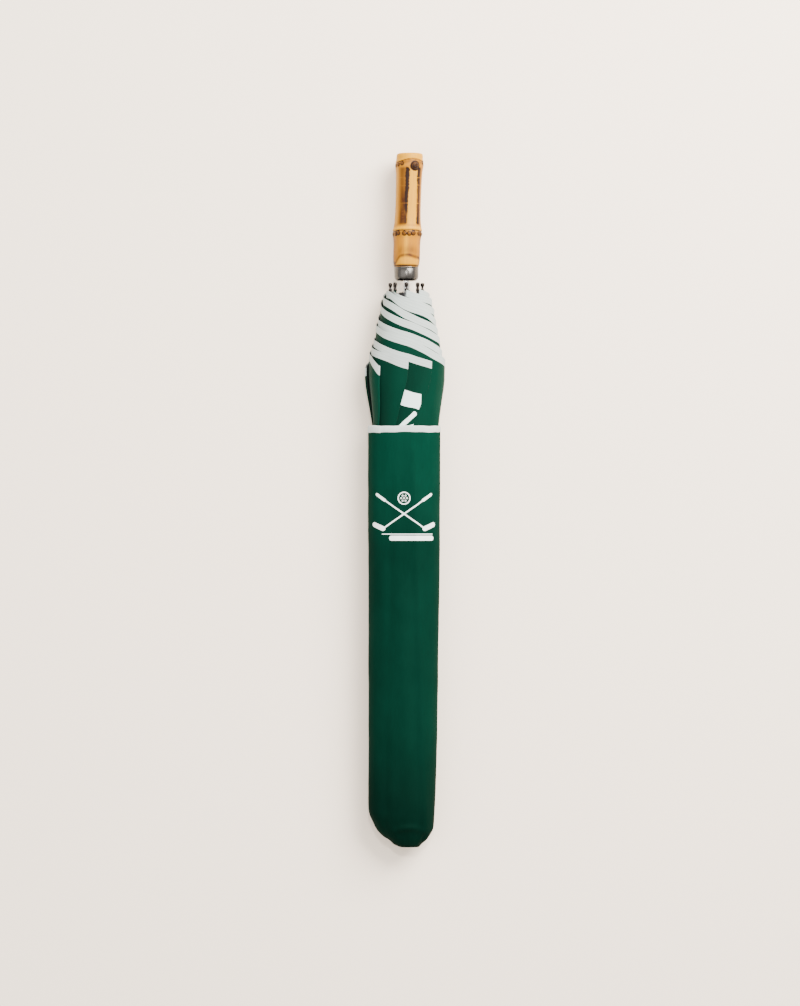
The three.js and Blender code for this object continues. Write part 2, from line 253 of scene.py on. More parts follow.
def cloth_mesh(name: str, points: Array, uv: Array, round_about: bool = False) -> Piece:
    """A sheet of cloth from a grid of points.

    Args:
        name: The piece's name.
        points: Rows by columns by 3.
        uv: Rows by columns by 2, in metres of cloth.
        round_about: True joins the last column to the first; the uv then has a column more.

    Returns:
        The piece, shaded smooth.
    """
    rows, columns = points.shape[:2]
    spans = columns if round_about else columns - 1
    index = np.arange(rows * columns).reshape(rows, columns)
    faces, corners = [], []
    for r in range(rows - 1):
        for c in range(spans):
            d = (c + 1) % columns
            faces.append((index[r, c], index[r, d], index[r + 1, d], index[r + 1, c]))
            corners += [uv[r, c], uv[r, c + 1], uv[r + 1, c + 1], uv[r + 1, c]]
    mesh = bpy.data.meshes.new(name)
    mesh.from_pydata(points.reshape(-1, 3).tolist(), [], [[int(i) for i in f] for f in faces])
    layer = mesh.uv_layers.new(name="cloth")
    layer.data.foreach_set("uv", np.array(corners, np.float32).ravel())
    mesh.polygons.foreach_set("use_smooth", [True] * len(mesh.polygons))
    piece = bpy.data.objects.new(name, mesh)
    bpy.context.collection.objects.link(piece)
    return piece


def float_attribute(piece: Piece, name: str, values: Array) -> None:
    """Stores one number a point on the piece's mesh."""
    attribute = piece.data.attributes.new(name, "FLOAT", "POINT")
    attribute.data.foreach_set("value", values.astype(np.float32))


def outwards(points: Array) -> Array:
    """Unit directions straight out from the shaft's axis, at the points given."""
    out = points - np.array([0, 0, PLACES.shaft_z])
    out[..., 1] = 0
    return out / np.linalg.norm(out, axis=-1, keepdims=True)


def wander(x: float, y: float, z: float, seed: float) -> float:
    """Smooth repeatable noise, from about -1 to 1."""
    return noise.noise(Vector((x + 17.3 * seed, y - 5.1 * seed, z + 3.7 * seed)))


# ---- finishes ----


class Graph:
    """A material's node tree, and short ways to add to it."""

    def __init__(self, name: str) -> None:
        """Starts an empty material of that name."""
        self.material = bpy.data.materials.new(name)
        self.material.use_nodes = True
        self.tree = self.material.node_tree
        self.tree.nodes.clear()
        self.shader = self.tree.nodes.new("ShaderNodeBsdfPrincipled")
        output = self.tree.nodes.new("ShaderNodeOutputMaterial")
        self.tree.links.new(self.shader.outputs[0], output.inputs[0])

    def set(self, **sockets: object) -> None:
        """Sets or links the shader's sockets; a word's _ stands for a space."""
        for name, value in sockets.items():
            self.join(value, self.shader.inputs[name.replace("_", " ")])

    def join(self, value: object, socket: Socket) -> None:
        """Links a socket, or sets a constant."""
        if isinstance(value, Socket):
            self.tree.links.new(value, socket)
        elif isinstance(value, tuple) and len(value) == 3 and socket.type == "RGBA":
            socket.default_value = (*value, 1)
        else:
            socket.default_value = value

    def node(self, kind: str, inputs: dict, **settings: object) -> bpy.types.Node:
        """A node of that kind, with its properties set and its inputs joined."""
        made = self.tree.nodes.new(kind)
        for name, value in settings.items():
            setattr(made, name, value)
        for name, value in inputs.items():
            self.join(value, made.inputs[name])
        return made

    def place(self) -> Socket:
        """Object coordinates, in metres."""
        return self.node("ShaderNodeTexCoord", {}).outputs["Object"]

    def cloth(self) -> Socket:
        """The piece's own cloth map, in metres."""
        return self.node("ShaderNodeUVMap", {}, uv_map="cloth").outputs[0]

    def attribute(self, name: str) -> Socket:
        """A number stored on the mesh."""
        return self.node("ShaderNodeAttribute", {}, attribute_name=name).outputs["Fac"]

    def split(self, vector: Socket) -> tuple:
        """A vector's three numbers."""
        return tuple(self.node("ShaderNodeSeparateXYZ", {0: vector}).outputs)

    def join_xyz(self, x: object, y: object, z: object) -> Socket:
        """Three numbers as a vector."""
        return self.node("ShaderNodeCombineXYZ", {0: x, 1: y, 2: z}).outputs[0]

    def scaled(self, vector: Socket, by: Point) -> Socket:
        """A vector scaled along each axis."""
        return self.node("ShaderNodeMapping", {"Vector": vector, "Scale": by}).outputs[0]

    def math(self, operation: str, a: object, b: object = 0.0) -> Socket:
        """One step of arithmetic, such as "SINE"."""
        return self.node("ShaderNodeMath", {0: a, 1: b}, operation=operation).outputs[0]

    def plus(self, a: object, b: object) -> Socket:
        """a + b."""
        return self.math("ADD", a, b)

    def minus(self, a: object, b: object) -> Socket:
        """a - b."""
        return self.math("SUBTRACT", a, b)

    def times(self, a: object, b: object) -> Socket:
        """a times b."""
        return self.math("MULTIPLY", a, b)

    def brighter(self, colour: object, by: object) -> Socket:
        """A colour with each of its three parts multiplied."""
        return self.node("ShaderNodeVectorMath", {0: colour, "Scale": by}, operation="SCALE").outputs[0]

    def span(self, value: object, low: float, high: float, to: tuple = (0.0, 1.0)) -> object:
        """value read from low..high onto to, with soft ends."""
        return self.node(
            "ShaderNodeMapRange",
            {"Value": value, "From Min": low, "From Max": high, "To Min": to[0], "To Max": to[1]},
            interpolation_type="SMOOTHSTEP",
        ).outputs[0]

    def mix(self, share: object, a: object, b: object) -> Socket:
        """Colour a going to colour b."""
        made = self.tree.nodes.new("ShaderNodeMix")
        made.data_type = "RGBA"
        self.join(share, made.inputs["Factor"])
        for value, socket in ((a, made.inputs[6]), (b, made.inputs[7])):
            self.join(value, socket)
        return made.outputs[2]

    def grain(self, vector: object, scale: float, detail: float = 3, rough: float = 0.5) -> object:
        """Cloudy noise, from 0 to 1."""
        return self.node(
            "ShaderNodeTexNoise",
            {"Vector": vector, "Scale": scale, "Detail": detail, "Roughness": rough},
        ).outputs["Fac"]

    def bump(self, height: object, distance: float, under: object = None) -> object:
        """Turns a height into relief of that depth in metres, on top of another relief."""
        inputs = {"Height": height, "Distance": distance, "Strength": 1.0}
        if under is not None:
            inputs["Normal"] = under
        return self.node("ShaderNodeBump", inputs).outputs[0]


@dataclass(frozen=True)
class MetalFinish:
    """Polished or brushed metal, a little uneven from handling."""

    name: str
    colour: Colour
    roughness: float

    def material(self) -> Material:
        """Builds the node tree.

        Returns:
            The finished material.
        """
        graph = Graph(self.name)
        place = graph.place()
        fine = graph.grain(graph.scaled(place, (900, 90, 900)), 1.0, 4, 0.6)
        broad = graph.grain(place, 45.0, 3)
        wear = graph.span(broad, 0.35, 0.75)
        dull = tuple(0.72 * c for c in self.colour)
        graph.set(
            Base_Color=graph.mix(wear, self.colour, dull),
            Metallic=1.0,
            Roughness=graph.span(
                graph.plus(fine, broad), 0.6, 1.4, (0.7 * self.roughness, 1.4 * self.roughness)
            ),
            Normal=graph.bump(fine, 0.00001),
        )
        return graph.material


@dataclass(frozen=True)
class PlasticFinish:
    """Moulded nylon with a faint orange-peel skin."""

    name: str
    colour: Colour
    roughness: float = 0.42

    def material(self) -> Material:
        """Builds the node tree.

        Returns:
            The finished material.
        """
        graph = Graph(self.name)
        place = graph.place()
        peel = graph.grain(place, 2400.0, 2)
        broad = graph.grain(place, 60.0, 3)
        pale = tuple(1.6 * c + 0.01 for c in self.colour)
        graph.set(
            Base_Color=graph.mix(graph.span(broad, 0.4, 0.8), self.colour, pale),
            Roughness=graph.span(broad, 0.3, 0.8, (self.roughness, 1.25 * self.roughness)),
            Normal=graph.bump(peel, 0.00002),
        )
        return graph.material


@dataclass(frozen=True)
class ClothFinish:
    """Woven umbrella cloth: its dye, its thread, a pale border along the hem, printed marks.

    marks are functions that draw a mask, and mark_colours their inks. Two fields paint light
    into the dye: one gives how many times brighter the cloth is painted at the mouth, along its
    middle and at its end, a painted highlight at the mouth and painted shade towards the end; the
    other makes the dye paler or darker by the mesh's own attribute of painted light and shade.
    """

    name: str
    colour: Colour
    shade: Colour
    border: Colour = (0.365, 0.410, 0.390)
    border_width: float = 0.0
    stitch_rows: tuple[float, float] = (0.0021, 0.0058)
    thread: float = 0.00028
    roughness: float = 0.6
    sheen: float = 0.05
    marks: tuple = ()
    mark_colours: tuple = ()
    painted_light_falloff: tuple[float, float, float] | None = None
    uses_painted_light: bool = False

    def weave(self, graph: Graph, u: object, v: object) -> object:
        """Relief of warp and weft, one thread wide.

        Args:
            graph: The material's graph.
            u: Metres across the cloth.
            v: Metres along the cloth.

        Returns:
            The bumped normal.
        """
        turn = math.pi / self.thread
        warp = graph.math("SINE", graph.times(u, turn))
        weft = graph.math("SINE", graph.times(v, turn))
        return graph.bump(graph.times(warp, weft), 0.000012)

    def dye(self, graph: Graph, u: object, v: object, cloud: object) -> object:
        """The cloth's colour, clouded and slubbed, with painted light and shade from the mesh and painted
        light falling off along the sleeve.
        """
        slub = graph.grain(graph.join_xyz(graph.times(u, 900), graph.times(v, 60), 0.0), 1.0, 2)
        paler = tuple(1.5 * c for c in self.colour)
        colour = graph.mix(graph.span(cloud, 0.3, 0.75), self.shade, self.colour)
        colour = graph.mix(graph.span(slub, 0.35, 0.9, (0.0, 0.18)), colour, paler)
        # Painted light and shade from the mesh: paler above 0, darker below.
        if self.uses_painted_light:
            colour = graph.brighter(colour, graph.plus(graph.attribute("fade"), 1.0))
        # Painted light along the sleeve: painted brighter towards the mouth, darker towards the end as
        # painted shade.
        if self.painted_light_falloff:
            mouth, middle, end = self.painted_light_falloff
            upper = graph.span(v, 0.02, 0.19, (mouth, middle))
            lower = graph.span(v, 0.40, 0.53, (1.0, end / middle))
            colour = graph.brighter(colour, graph.times(upper, lower))
        return colour

    def hem(self, graph: Graph, u: object, v: object) -> tuple:
        """The pale border, with its worn edge and two rows of stitches.

        Returns:
            The border's colour and the stitches, 1 on a stitch and 0 off it.
        """
        half_row = 0.0005
        edge = graph.span(v, 0.0009, 0.0004, (0.0, 0.35))
        stitch = graph.span(graph.math("SINE", graph.times(u, 2900.0)), -0.6, 0.2, (0.35, 1.0))
        rows = [
            graph.times(graph.span(v, at + half_row, at), graph.span(v, at - half_row, at))
            for at in self.stitch_rows
        ]
        seam = graph.times(graph.math("MAXIMUM", *rows), stitch)
        band = graph.mix(edge, self.border, tuple(1.25 * c for c in self.border))
        return graph.mix(graph.times(seam, 0.55), band, tuple(0.5 * c for c in self.border)), seam

    def material(self) -> Material:
        """Builds the node tree: uneven dye with painted light and shade, weave, hem border and printed
        marks.

        Returns:
            The finished material.
        """
        graph = Graph(self.name)
        u, v, _ = graph.split(graph.cloth())
        cloud = graph.grain(graph.scaled(graph.place(), (22, 9, 22)), 1.0, 4, 0.55)
        colour = self.dye(graph, u, v, cloud)
        relief = self.weave(graph, u, v)
        if self.border_width:
            band, seam = self.hem(graph, u, v)
            inside = graph.span(v, self.border_width, self.border_width + 0.0004)
            colour = graph.mix(inside, band, colour)
            relief = graph.bump(seam, -0.0001, relief)
        for draw, ink in zip(self.marks, self.mark_colours):
            colour = graph.mix(draw(graph, u, v), colour, ink)
        graph.set(
            Base_Color=colour,
            Roughness=graph.span(cloud, 0.2, 0.8, (self.roughness + 0.06, self.roughness - 0.04)),
            Normal=relief,
            Sheen_Weight=self.sheen,
            Sheen_Roughness=0.4,
            Specular_IOR_Level=0.02,
        )
        return graph.material


@dataclass(frozen=True)
class BambooFinish:
    """Heat-straightened root bamboo; the mesh says where it is scorched, toasted or pale."""

    name: str = "scorched_bamboo"
    gold: Colour = (0.35, 0.138, 0.0)
    pale: Colour = (0.58, 0.275, 0.0)
    brown: Colour = (0.040, 0.0105, 0.0012)
    scorch: Colour = (0.0120, 0.0038, 0.0012)
    fibre: Colour = (0.20, 0.056, 0.0)
    crack: Colour = (0.36, 0.11, 0.03)
    skin_radius: float = 0.018

    def material(self) -> Material:
        """Builds the node tree: fibres, bands of colour, burns and fine cracks.

        Returns:
            The finished material.
        """
        graph = Graph(self.name)
        place = graph.place()
        x, y, z = graph.split(place)
        turn = graph.math("ARCTAN2", x, graph.minus(z, PLACES.shaft_z))
        round_about = graph.times(turn, self.skin_radius)
        fibre_map = graph.join_xyz(graph.times(round_about, 1500.0), graph.times(y, 28.0), 0.0)
        fibre = graph.grain(fibre_map, 1.0, 5, 0.65)
        blotch = graph.grain(graph.scaled(place, (90, 34, 90)), 1.0, 4, 0.6)
        crack_map = graph.join_xyz(graph.times(round_about, 90.0), graph.times(y, 640.0), 0.0)
        crack = graph.span(graph.grain(crack_map, 1.0, 2, 0.4), 0.66, 0.74)
        lines = graph.times(crack, graph.attribute("cracked"))

        colour = graph.mix(graph.attribute("pale"), self.gold, self.pale)
        colour = graph.mix(graph.span(fibre, 0.35, 0.75, (0.0, 0.42)), colour, self.fibre)
        toast = graph.times(graph.attribute("brown"), graph.span(blotch, 0.18, 0.5, (0.6, 1.0)))
        colour = graph.mix(toast, colour, self.brown)
        colour = graph.mix(graph.times(lines, 0.65), colour, self.crack)
        ragged = graph.plus(graph.attribute("scorch"), graph.span(fibre, 0.2, 0.8, (-0.16, 0.16)))
        colour = graph.mix(graph.span(ragged, 0.22, 0.56), colour, self.scorch)
        pore_noise = graph.grain(graph.scaled(place, (1500, 0, 1500)), 1.0, 1)
        pores = graph.span(pore_noise, 0.60, 0.66, (0.0, 0.6))
        end_face = graph.span(y, PLACES.handle_end - 0.0005, PLACES.handle_end - 0.0002)
        colour = graph.mix(graph.times(pores, end_face), colour, self.brown)
        graph.set(
            Base_Color=colour,
            Roughness=graph.span(blotch, 0.3, 0.8, (0.38, 0.55)),
            Specular_IOR_Level=0.12,
            Normal=graph.bump(lines, -0.00012, graph.bump(fibre, 0.00006)),
        )
        return graph.material


class Slot(Enum):
    """The record's material slots."""

    BAMBOO = "bamboo"
    GUNMETAL = "gunmetal"
    BRIGHT_STEEL = "bright_steel"
    BLACK_STEEL = "black_steel"
    TIP_STEEL = "tip_steel"
    BLACK_PLASTIC = "black_plastic"
    CANOPY = "canopy_cloth"
    SLEEVE = "sleeve_cloth"
    TAPE = "binding_tape"


class Body(Enum):
    """The bodies that single pieces ride on."""

    FRAME = "frame"
    SLEEVE = "sleeve"


def dress(piece: Piece, node: str, material: Material) -> None:
    """Gives a new piece its material and hides the CAD node that it stands for."""
    piece.data.materials.clear()
    piece.data.materials.append(material)
    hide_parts(node)


def fit(piece: Piece, node: str, material: Material, slot: Slot, body: str) -> Piece:
    """Dresses a new piece and lets it ride on a body.

    Args:
        piece: The piece.
        node: The CAD node that it stands for.
        material: Its material.
        slot: The record's slot for that material; not used.
        body: The body's name.

    Returns:
        The piece.
    """
    dress(piece, node, material)
    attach(piece, body)
    return piece


# ---- printed marks on the cloth ----

PRINT_EDGE = 0.00018
BALL = (0.0, 0.0985)


def stroke(graph: Graph, u: object, v: object, start: tuple, end: tuple, half: float) -> object:
    """A straight printed bar with round ends.

    Args:
        graph: The material's graph.
        u: Metres across the cloth.
        v: Metres along the cloth.
        start: One end, (u, v).
        end: The other end.
        half: Half the bar's width.

    Returns:
        1 on the bar, 0 off it.
    """
    length = math.dist(start, end)
    du, dv = (end[0] - start[0]) / length, (end[1] - start[1]) / length
    from_u, from_v = graph.minus(u, start[0]), graph.minus(v, start[1])
    along = graph.plus(graph.times(from_u, du), graph.times(from_v, dv))
    across = graph.minus(graph.times(from_v, du), graph.times(from_u, dv))
    nearest = graph.math("MAXIMUM", graph.math("MINIMUM", along, length), 0.0)
    beyond = graph.minus(along, nearest)
    away = graph.math("SQRT", graph.plus(graph.times(across, across), graph.times(beyond, beyond)))
    return graph.span(away, half + PRINT_EDGE, half - PRINT_EDGE)


def ring(graph: Graph, u: object, v: object, centre: tuple, radius: float, half: float) -> object:
    """A printed ring; 1 on its line, 0 off it."""
    from_u, from_v = graph.minus(u, centre[0]), graph.minus(v, centre[1])
    away = graph.math("SQRT", graph.plus(graph.times(from_u, from_u), graph.times(from_v, from_v)))
    off = graph.math("ABSOLUTE", graph.minus(away, radius))
    return graph.span(off, half + PRINT_EDGE, half - PRINT_EDGE)


def any_of(graph: Graph, masks: list) -> object:
    """1 where any of the masks is 1."""
    whole = masks[0]
    for mask in masks[1:]:
        whole = graph.math("MAXIMUM", whole, mask)
    return whole


def crossed_clubs(graph: Graph, u: object, v: object) -> object:
    """A plain golf badge: a dimpled ball over two crossed clubs, and two bars under them."""
    masks = []
    for side in (-1, 1):
        grip, grip_end = (side * 0.038, 0.0935), (side * 0.0268, 0.1013)
        neck, toe = (-side * 0.0290, 0.1400), (-side * 0.0420, 0.1345)
        for start, end, half in ((grip, grip_end, 0.0019), (grip, neck, 0.0009), (neck, toe, 0.0032)):
            masks.append(stroke(graph, u, v, start, end, half))
    masks.append(ring(graph, u, v, BALL, 0.0080, 0.0007))
    dimples = [BALL]
    for i in range(6):
        turn = math.radians(60 * i)
        dimples.append((BALL[0] + 0.0040 * math.cos(turn), BALL[1] + 0.0040 * math.sin(turn)))
    for dimple in dimples:
        masks.append(ring(graph, u, v, dimple, 0.0009, 0.0003))
    masks.append(stroke(graph, u, v, (-0.0170, 0.1530), (0.0385, 0.1530), 0.0034))
    masks.append(stroke(graph, u, v, (-0.0300, 0.1475), (0.0400, 0.1475), 0.0005))
    return any_of(graph, masks)


def canopy_print(graph: Graph, u: object, v: object) -> object:
    """The plain patch and bars printed near one panel's hem."""
    patch = graph.times(
        graph.times(graph.span(v, 0.0445, 0.0448), graph.span(v, 0.0630, 0.0627)),
        graph.times(graph.span(u, 0.2050, 0.2054), graph.span(u, 0.2366, 0.2362)),
    )
    bars = [
        stroke(graph, u, v, (0.2296, 0.0688), (0.2075, 0.0985), 0.0021),
        stroke(graph, u, v, (0.2300, 0.0815), (0.2170, 0.0915), 0.0010),
    ]
    return any_of(graph, [patch, *bars])


# ---- the handle ----


@dataclass(frozen=True)
class Knob:
    """One root scar on the bamboo: its turn from the top in degrees, its Y, radius and rise."""

    turn: float
    y: float
    radius: float
    rise: float


class GripSkin:
    """The grip's surface while its scars, grooves and burns are worked out.

    rise is how far each point stands out in metres; scorch, brown and pale say how burnt,
    toasted or bleached it is; golden and left mark the two pale strips of the shank.
    """

    def __init__(self, points: Array) -> None:
        """Starts plain bamboo on the points given."""
        x, self.y, z = points[:, 0], points[:, 1], points[:, 2] - PLACES.shaft_z
        self.radius = np.hypot(x, z)
        self.slant = np.arctan2(x, z)
        self.turn = np.degrees(self.slant)
        self.cloud = self.grain(points, 90, 24, 1.0)
        self.fine = self.grain(points, 260, 70, 2.0)
        self.notch = self.grain(points, 150, 380, 3.0)
        self.rise = 0.00022 * self.cloud
        self.scorch, self.brown, self.pale = (np.zeros_like(x) for _ in range(3))
        self.shank = eased(self.y, 0.3735, 0.3790) * (1 - eased(self.y, 0.4520, 0.4570))
        self.golden = eased(self.turn, -3, 3) * (1 - eased(self.turn, 36, 42)) * self.shank
        self.left = eased(-self.turn, 46, 60) * (1 - eased(-self.turn, 85, 100)) * self.shank

    @staticmethod
    def grain(points: Array, across: float, along: float, seed: float) -> Array:
        """Noise at each point, with so many waves a metre across and along the bamboo."""
        return np.array([wander(across * x, along * y, across * z, seed) for x, y, z in points])

    def burn(self, **amounts: Array) -> None:
        """Raises scorch, brown or pale to at least the amounts given."""
        for name, amount in amounts.items():
            setattr(self, name, np.maximum(getattr(self, name), amount))

    def line(self, at: Array, width: float) -> Array:
        """A soft line round the bamboo at the heights given."""
        return hump(self.y - at, width)

    def off(self, middle: float) -> Array:
        """Degrees round from the place given, -180 to 180."""
        return (self.turn - middle + 180) % 360 - 180

    def scar(self, knob: Knob) -> None:
        """A root scar: a low button in a burnt ring, with a pit in its middle."""
        around = np.radians(self.off(knob.turn)) * self.radius
        away = np.hypot(around, self.y - knob.y) / knob.radius
        self.rise += knob.rise * (1 - eased(away, 0.45, 1.1))
        self.rise -= 0.35 * knob.rise * hump(away - 1.22, 0.2)
        self.rise -= 0.5 * knob.rise * hump(away, 0.28)
        low = 0.75 + 0.25 * (self.y < knob.y)
        self.burn(scorch=low * hump(away - 1.1, 0.24))
        self.burn(scorch=0.65 * hump(away, 0.3))
        if knob.radius > 0.004:
            self.burn(scorch=(0.52 + 0.6 * self.notch) * (1 - eased(away, 0.6, 1.0)))
            self.burn(scorch=0.9 * hump(away - 1.08, 0.30) * (0.8 + 0.4 * self.fine))
        self.burn(brown=0.85 * (1 - eased(away, 0.9, 1.6)))

    def upper_knot(self) -> None:
        """The groove and lip of the upper knot, and the paler end above it."""
        at = 0.4612 + 0.0048 * np.clip(np.cos(self.slant - 0.26), 0, 1) ** 2 + 0.0005 * self.cloud
        groove = self.line(at, 0.0006)
        self.rise += 0.0004 * self.line(at + 0.0016, 0.0010) - 0.0005 * groove
        self.burn(
            scorch=0.95 * groove * (0.75 + 0.5 * self.cloud),
            brown=0.7 * self.line(at - 0.0030, 0.0022) * (0.75 + 0.6 * self.cloud),
            pale=0.8 * eased(self.y, at + 0.0006, at + 0.002),
        )

    def lower_knot(self) -> None:
        """The groove and lip of the lower knot, with a pale band over it."""
        at = 0.3690 - 0.0016 * np.sin(self.slant) ** 2 + 0.0004 * self.cloud
        groove = self.line(at, 0.0006)
        self.rise += 0.0005 * self.line(at + 0.0020, 0.0012) - 0.0005 * groove
        self.burn(
            scorch=0.85 * groove,
            brown=0.45 * self.line(at - 0.0042, 0.0040),
            pale=0.85 * self.line(at + 0.0034, 0.0026),
        )

    def streaks(self, streaks: tuple) -> None:
        """The long burns down the shank, each toasted to one side, and the pale strips."""
        for middle, half, reach in streaks:
            off = self.off(middle)
            ragged = off + 2.4 * self.fine + 1.6 * self.cloud + 3.2 * self.notch
            strength = 0.72 + 0.28 * np.sin((self.y - 0.37) * 42 + middle)
            self.burn(scorch=hump(ragged, half) * self.shank * np.clip(strength, 0.5, 1))
            side = -off if reach > 0 else off
            spread = eased(side, -4, 4) * (1 - eased(side, 0.55 * abs(reach), 1.25 * abs(reach)))
            fade = 0.80 + 0.20 * (1 - eased(self.y, 0.395, 0.430)) + 0.35 * self.cloud
            self.burn(brown=spread * fade * self.shank)
        self.burn(pale=0.75 * self.golden)
        self.burn(pale=0.45 * self.left)

    def foot(self) -> None:
        """The brown arch over the pale foot, painted shade down both of its sides, and the burnt edge
        against the collar.
        """
        below_knot = self.y < 0.362
        left_fall = hump(self.turn + 64, 24)
        arch = 0.3290 + 0.0058 * np.cos(self.slant + 0.15) - 0.0090 * left_fall + 0.0016 * self.cloud
        haze = 0.8 + 0.8 * self.cloud + 0.5 * self.fine
        self.burn(brown=self.line(arch, 0.0026) * (0.9 + 0.5 * self.cloud))
        self.burn(brown=0.50 * self.line(arch + 0.0070, 0.0070) * haze)
        # Painted shade: both sides of the foot below the knot are painted browner.
        painted_side_shade = eased(np.abs(np.sin(self.slant)), 0.72, 0.95) * below_knot
        self.burn(brown=0.34 * painted_side_shade * (0.8 + 0.8 * self.fine))
        self.burn(scorch=0.42 * self.line(arch - 0.0004, 0.0012) * (0.6 + 0.8 * self.cloud))
        self.burn(pale=0.6 * (1 - eased(self.y, arch - 0.0035, arch - 0.0015)))
        self.burn(pale=0.7 * hump(self.turn + 4, 9) * below_knot)
        self.burn(brown=self.line(0.3204, 0.0016))
        self.burn(scorch=0.9 * self.line(0.3202, 0.0010) * (0.7 + 0.7 * self.cloud))

    def scraped(self, at: float) -> None:
        """A thin raised ring where the burns are scraped paler."""
        mark = self.line(at + 0.0006 * self.cloud, 0.00045) * (0.6 + 0.9 * self.cloud)
        self.rise += 0.00012 * mark
        self.scorch *= 1 - 0.55 * np.clip(mark, 0, 1)
        self.brown *= 1 - 0.45 * np.clip(mark, 0, 1)


@dataclass
class Handle:
    """The bamboo grip, the plated collar with its bush, and the steel shaft."""

    lean_from: float = 0.320
    lean: float = 0.030
    ring_step: float = 0.004
    sides: int = 36
    tube_wall: float = 0.0008
    streaks: tuple = ((-8, 9.5, 38), (47, 10.5, -18), (128, 9, 22), (-112, 8, 30), (190, 10, -25))
    scrapes: tuple = (0.4051, 0.4298, 0.4402)
    waist: Stations = (
        (0.3190, 0.0166), (0.3230, 0.0178), (0.3330, 0.0184), (0.3450, 0.0184),
        (0.3560, 0.0187), (0.3600, 0.0195), (0.3650, 0.0201), (0.3700, 0.0199),
        (0.3740, 0.0190), (0.3840, 0.0180), (0.4000, 0.0175), (0.4250, 0.0176),
        (0.4460, 0.0180), (0.4540, 0.0189), (0.4590, 0.0198), (0.4625, 0.0190),
        (0.4650, 0.0181), (0.4700, 0.0182), (0.4735, 0.0180),
    )
    knobs: tuple[Knob, ...] = (
        Knob(25, 0.4568, 0.0054, 0.0014), Knob(-32, 0.4600, 0.0023, 0.0008),
        Knob(-52, 0.4585, 0.0022, 0.0008), Knob(-74, 0.4575, 0.0022, 0.0008),
        Knob(74, 0.4610, 0.0024, 0.0006), Knob(110, 0.4590, 0.0024, 0.0009),
        Knob(140, 0.4580, 0.0022, 0.0009), Knob(172, 0.4590, 0.0030, 0.0010),
        Knob(206, 0.4580, 0.0022, 0.0008), Knob(236, 0.4592, 0.0024, 0.0008),
    )

    def lower_knobs(self) -> list[Knob]:
        """The ring of scars round the lower knot, not quite evenly spaced."""
        made = []
        for i in range(17):
            turn = -78 + i * 21.2 + 4 * math.sin(2.3 * i)
            y = 0.3645 - 0.0006 * math.cos(1.7 * i) - 0.0008 * math.sin(math.radians(turn)) ** 2
            made.append(Knob(turn, y, 0.0026 + 0.0004 * math.sin(3.1 * i), 0.0008))
        return made

    def grip(self) -> Piece:
        """Builds the bamboo, carves its knots and stores where it is burnt."""
        end = PLACES.handle_end
        ys = np.arange(self.waist[-1][0], self.waist[0][0], -self.ring_step)
        outer = list(zip(smooth_curve(self.waist, ys), ys))
        crown = [(0.0, end), (0.007, end), (0.0150, end - 0.0001)]
        foot = [(0.0158, 0.3165), (0.0154, 0.3045), (0.0056, 0.3045), (0.0056, 0.4060), (0.0, 0.4060)]
        piece = turned("grip", crown + outer + foot, self.sides)
        add_modifier(piece, "SUBSURF", levels=2, render_levels=2)
        self.carve(piece)
        smooth(piece, 50)
        return piece

    def carve(self, piece: Piece) -> None:
        """Moves the surface for scars, grooves and lean, and writes the burn attributes."""
        mesh = piece.data
        co = np.empty(len(mesh.vertices) * 3)
        mesh.vertices.foreach_get("co", co)
        co = co.reshape(-1, 3)
        skin = GripSkin(co.copy())
        for knob in (*self.knobs, *self.lower_knobs()):
            skin.scar(knob)
        skin.upper_knot()
        skin.lower_knot()
        skin.streaks(self.streaks)
        skin.foot()
        for at in self.scrapes:
            skin.scraped(at)

        outside = eased(skin.radius, 0.012, 0.015) * eased(skin.y, 0.3195, 0.3215)
        out = np.where(skin.radius > 0.012, skin.rise * outside, 0)
        co[:, 0] += out * np.sin(skin.slant)
        co[:, 2] += out * np.cos(skin.slant)
        over = np.clip(skin.y - self.lean_from, 0, None)
        co[:, 0] += np.where(skin.radius > 0.0065, self.lean * over, 0)
        mesh.vertices.foreach_set("co", co.ravel())
        for name in ("scorch", "brown", "pale"):
            float_attribute(piece, name, np.clip(getattr(skin, name), 0, 1))
        cracked = np.clip(0.35 + skin.golden + skin.left, 0, 1) * skin.shank
        float_attribute(piece, "cracked", cracked)

    def collar(self) -> Piece:
        """The plated cup under the grip, rounded at its foot and open round the shaft."""
        end, foot = PLACES.collar_end, PLACES.handle_foot
        profile = [
            (0.0157, foot - 0.0012), (0.0157, foot), (0.0163, foot + 0.0001), (0.0166, foot - 0.0006),
            (0.0166, foot - 0.0025), (0.0164, foot - 0.0029), (0.0166, foot - 0.0033),
            (0.0166, end + 0.0062), (0.0160, end + 0.0034), (0.0147, end + 0.0014),
            (0.0128, end + 0.0003), (0.0112, end), (0.0104, end + 0.0004), (0.0100, end + 0.0016),
            (0.0080, end + 0.0024), (0.0078, end + 0.0042), (0.0157, end + 0.0044), (0.0157, foot - 0.0013),
        ]
        return turned("collar", profile, 72, angle=40)

    def bush(self) -> Piece:
        """The black bush in the collar's mouth."""
        end = PLACES.collar_end
        profile = [
            (0.0054, end + 0.0032), (0.0077, end + 0.0032), (0.0077, end + 0.0009),
            (0.0072, end + 0.0004), (0.0060, end + 0.0004), (0.0054, end + 0.0009), (0.0054, end + 0.0031),
        ]
        return turned("collar_bush", profile, 48, angle=40)

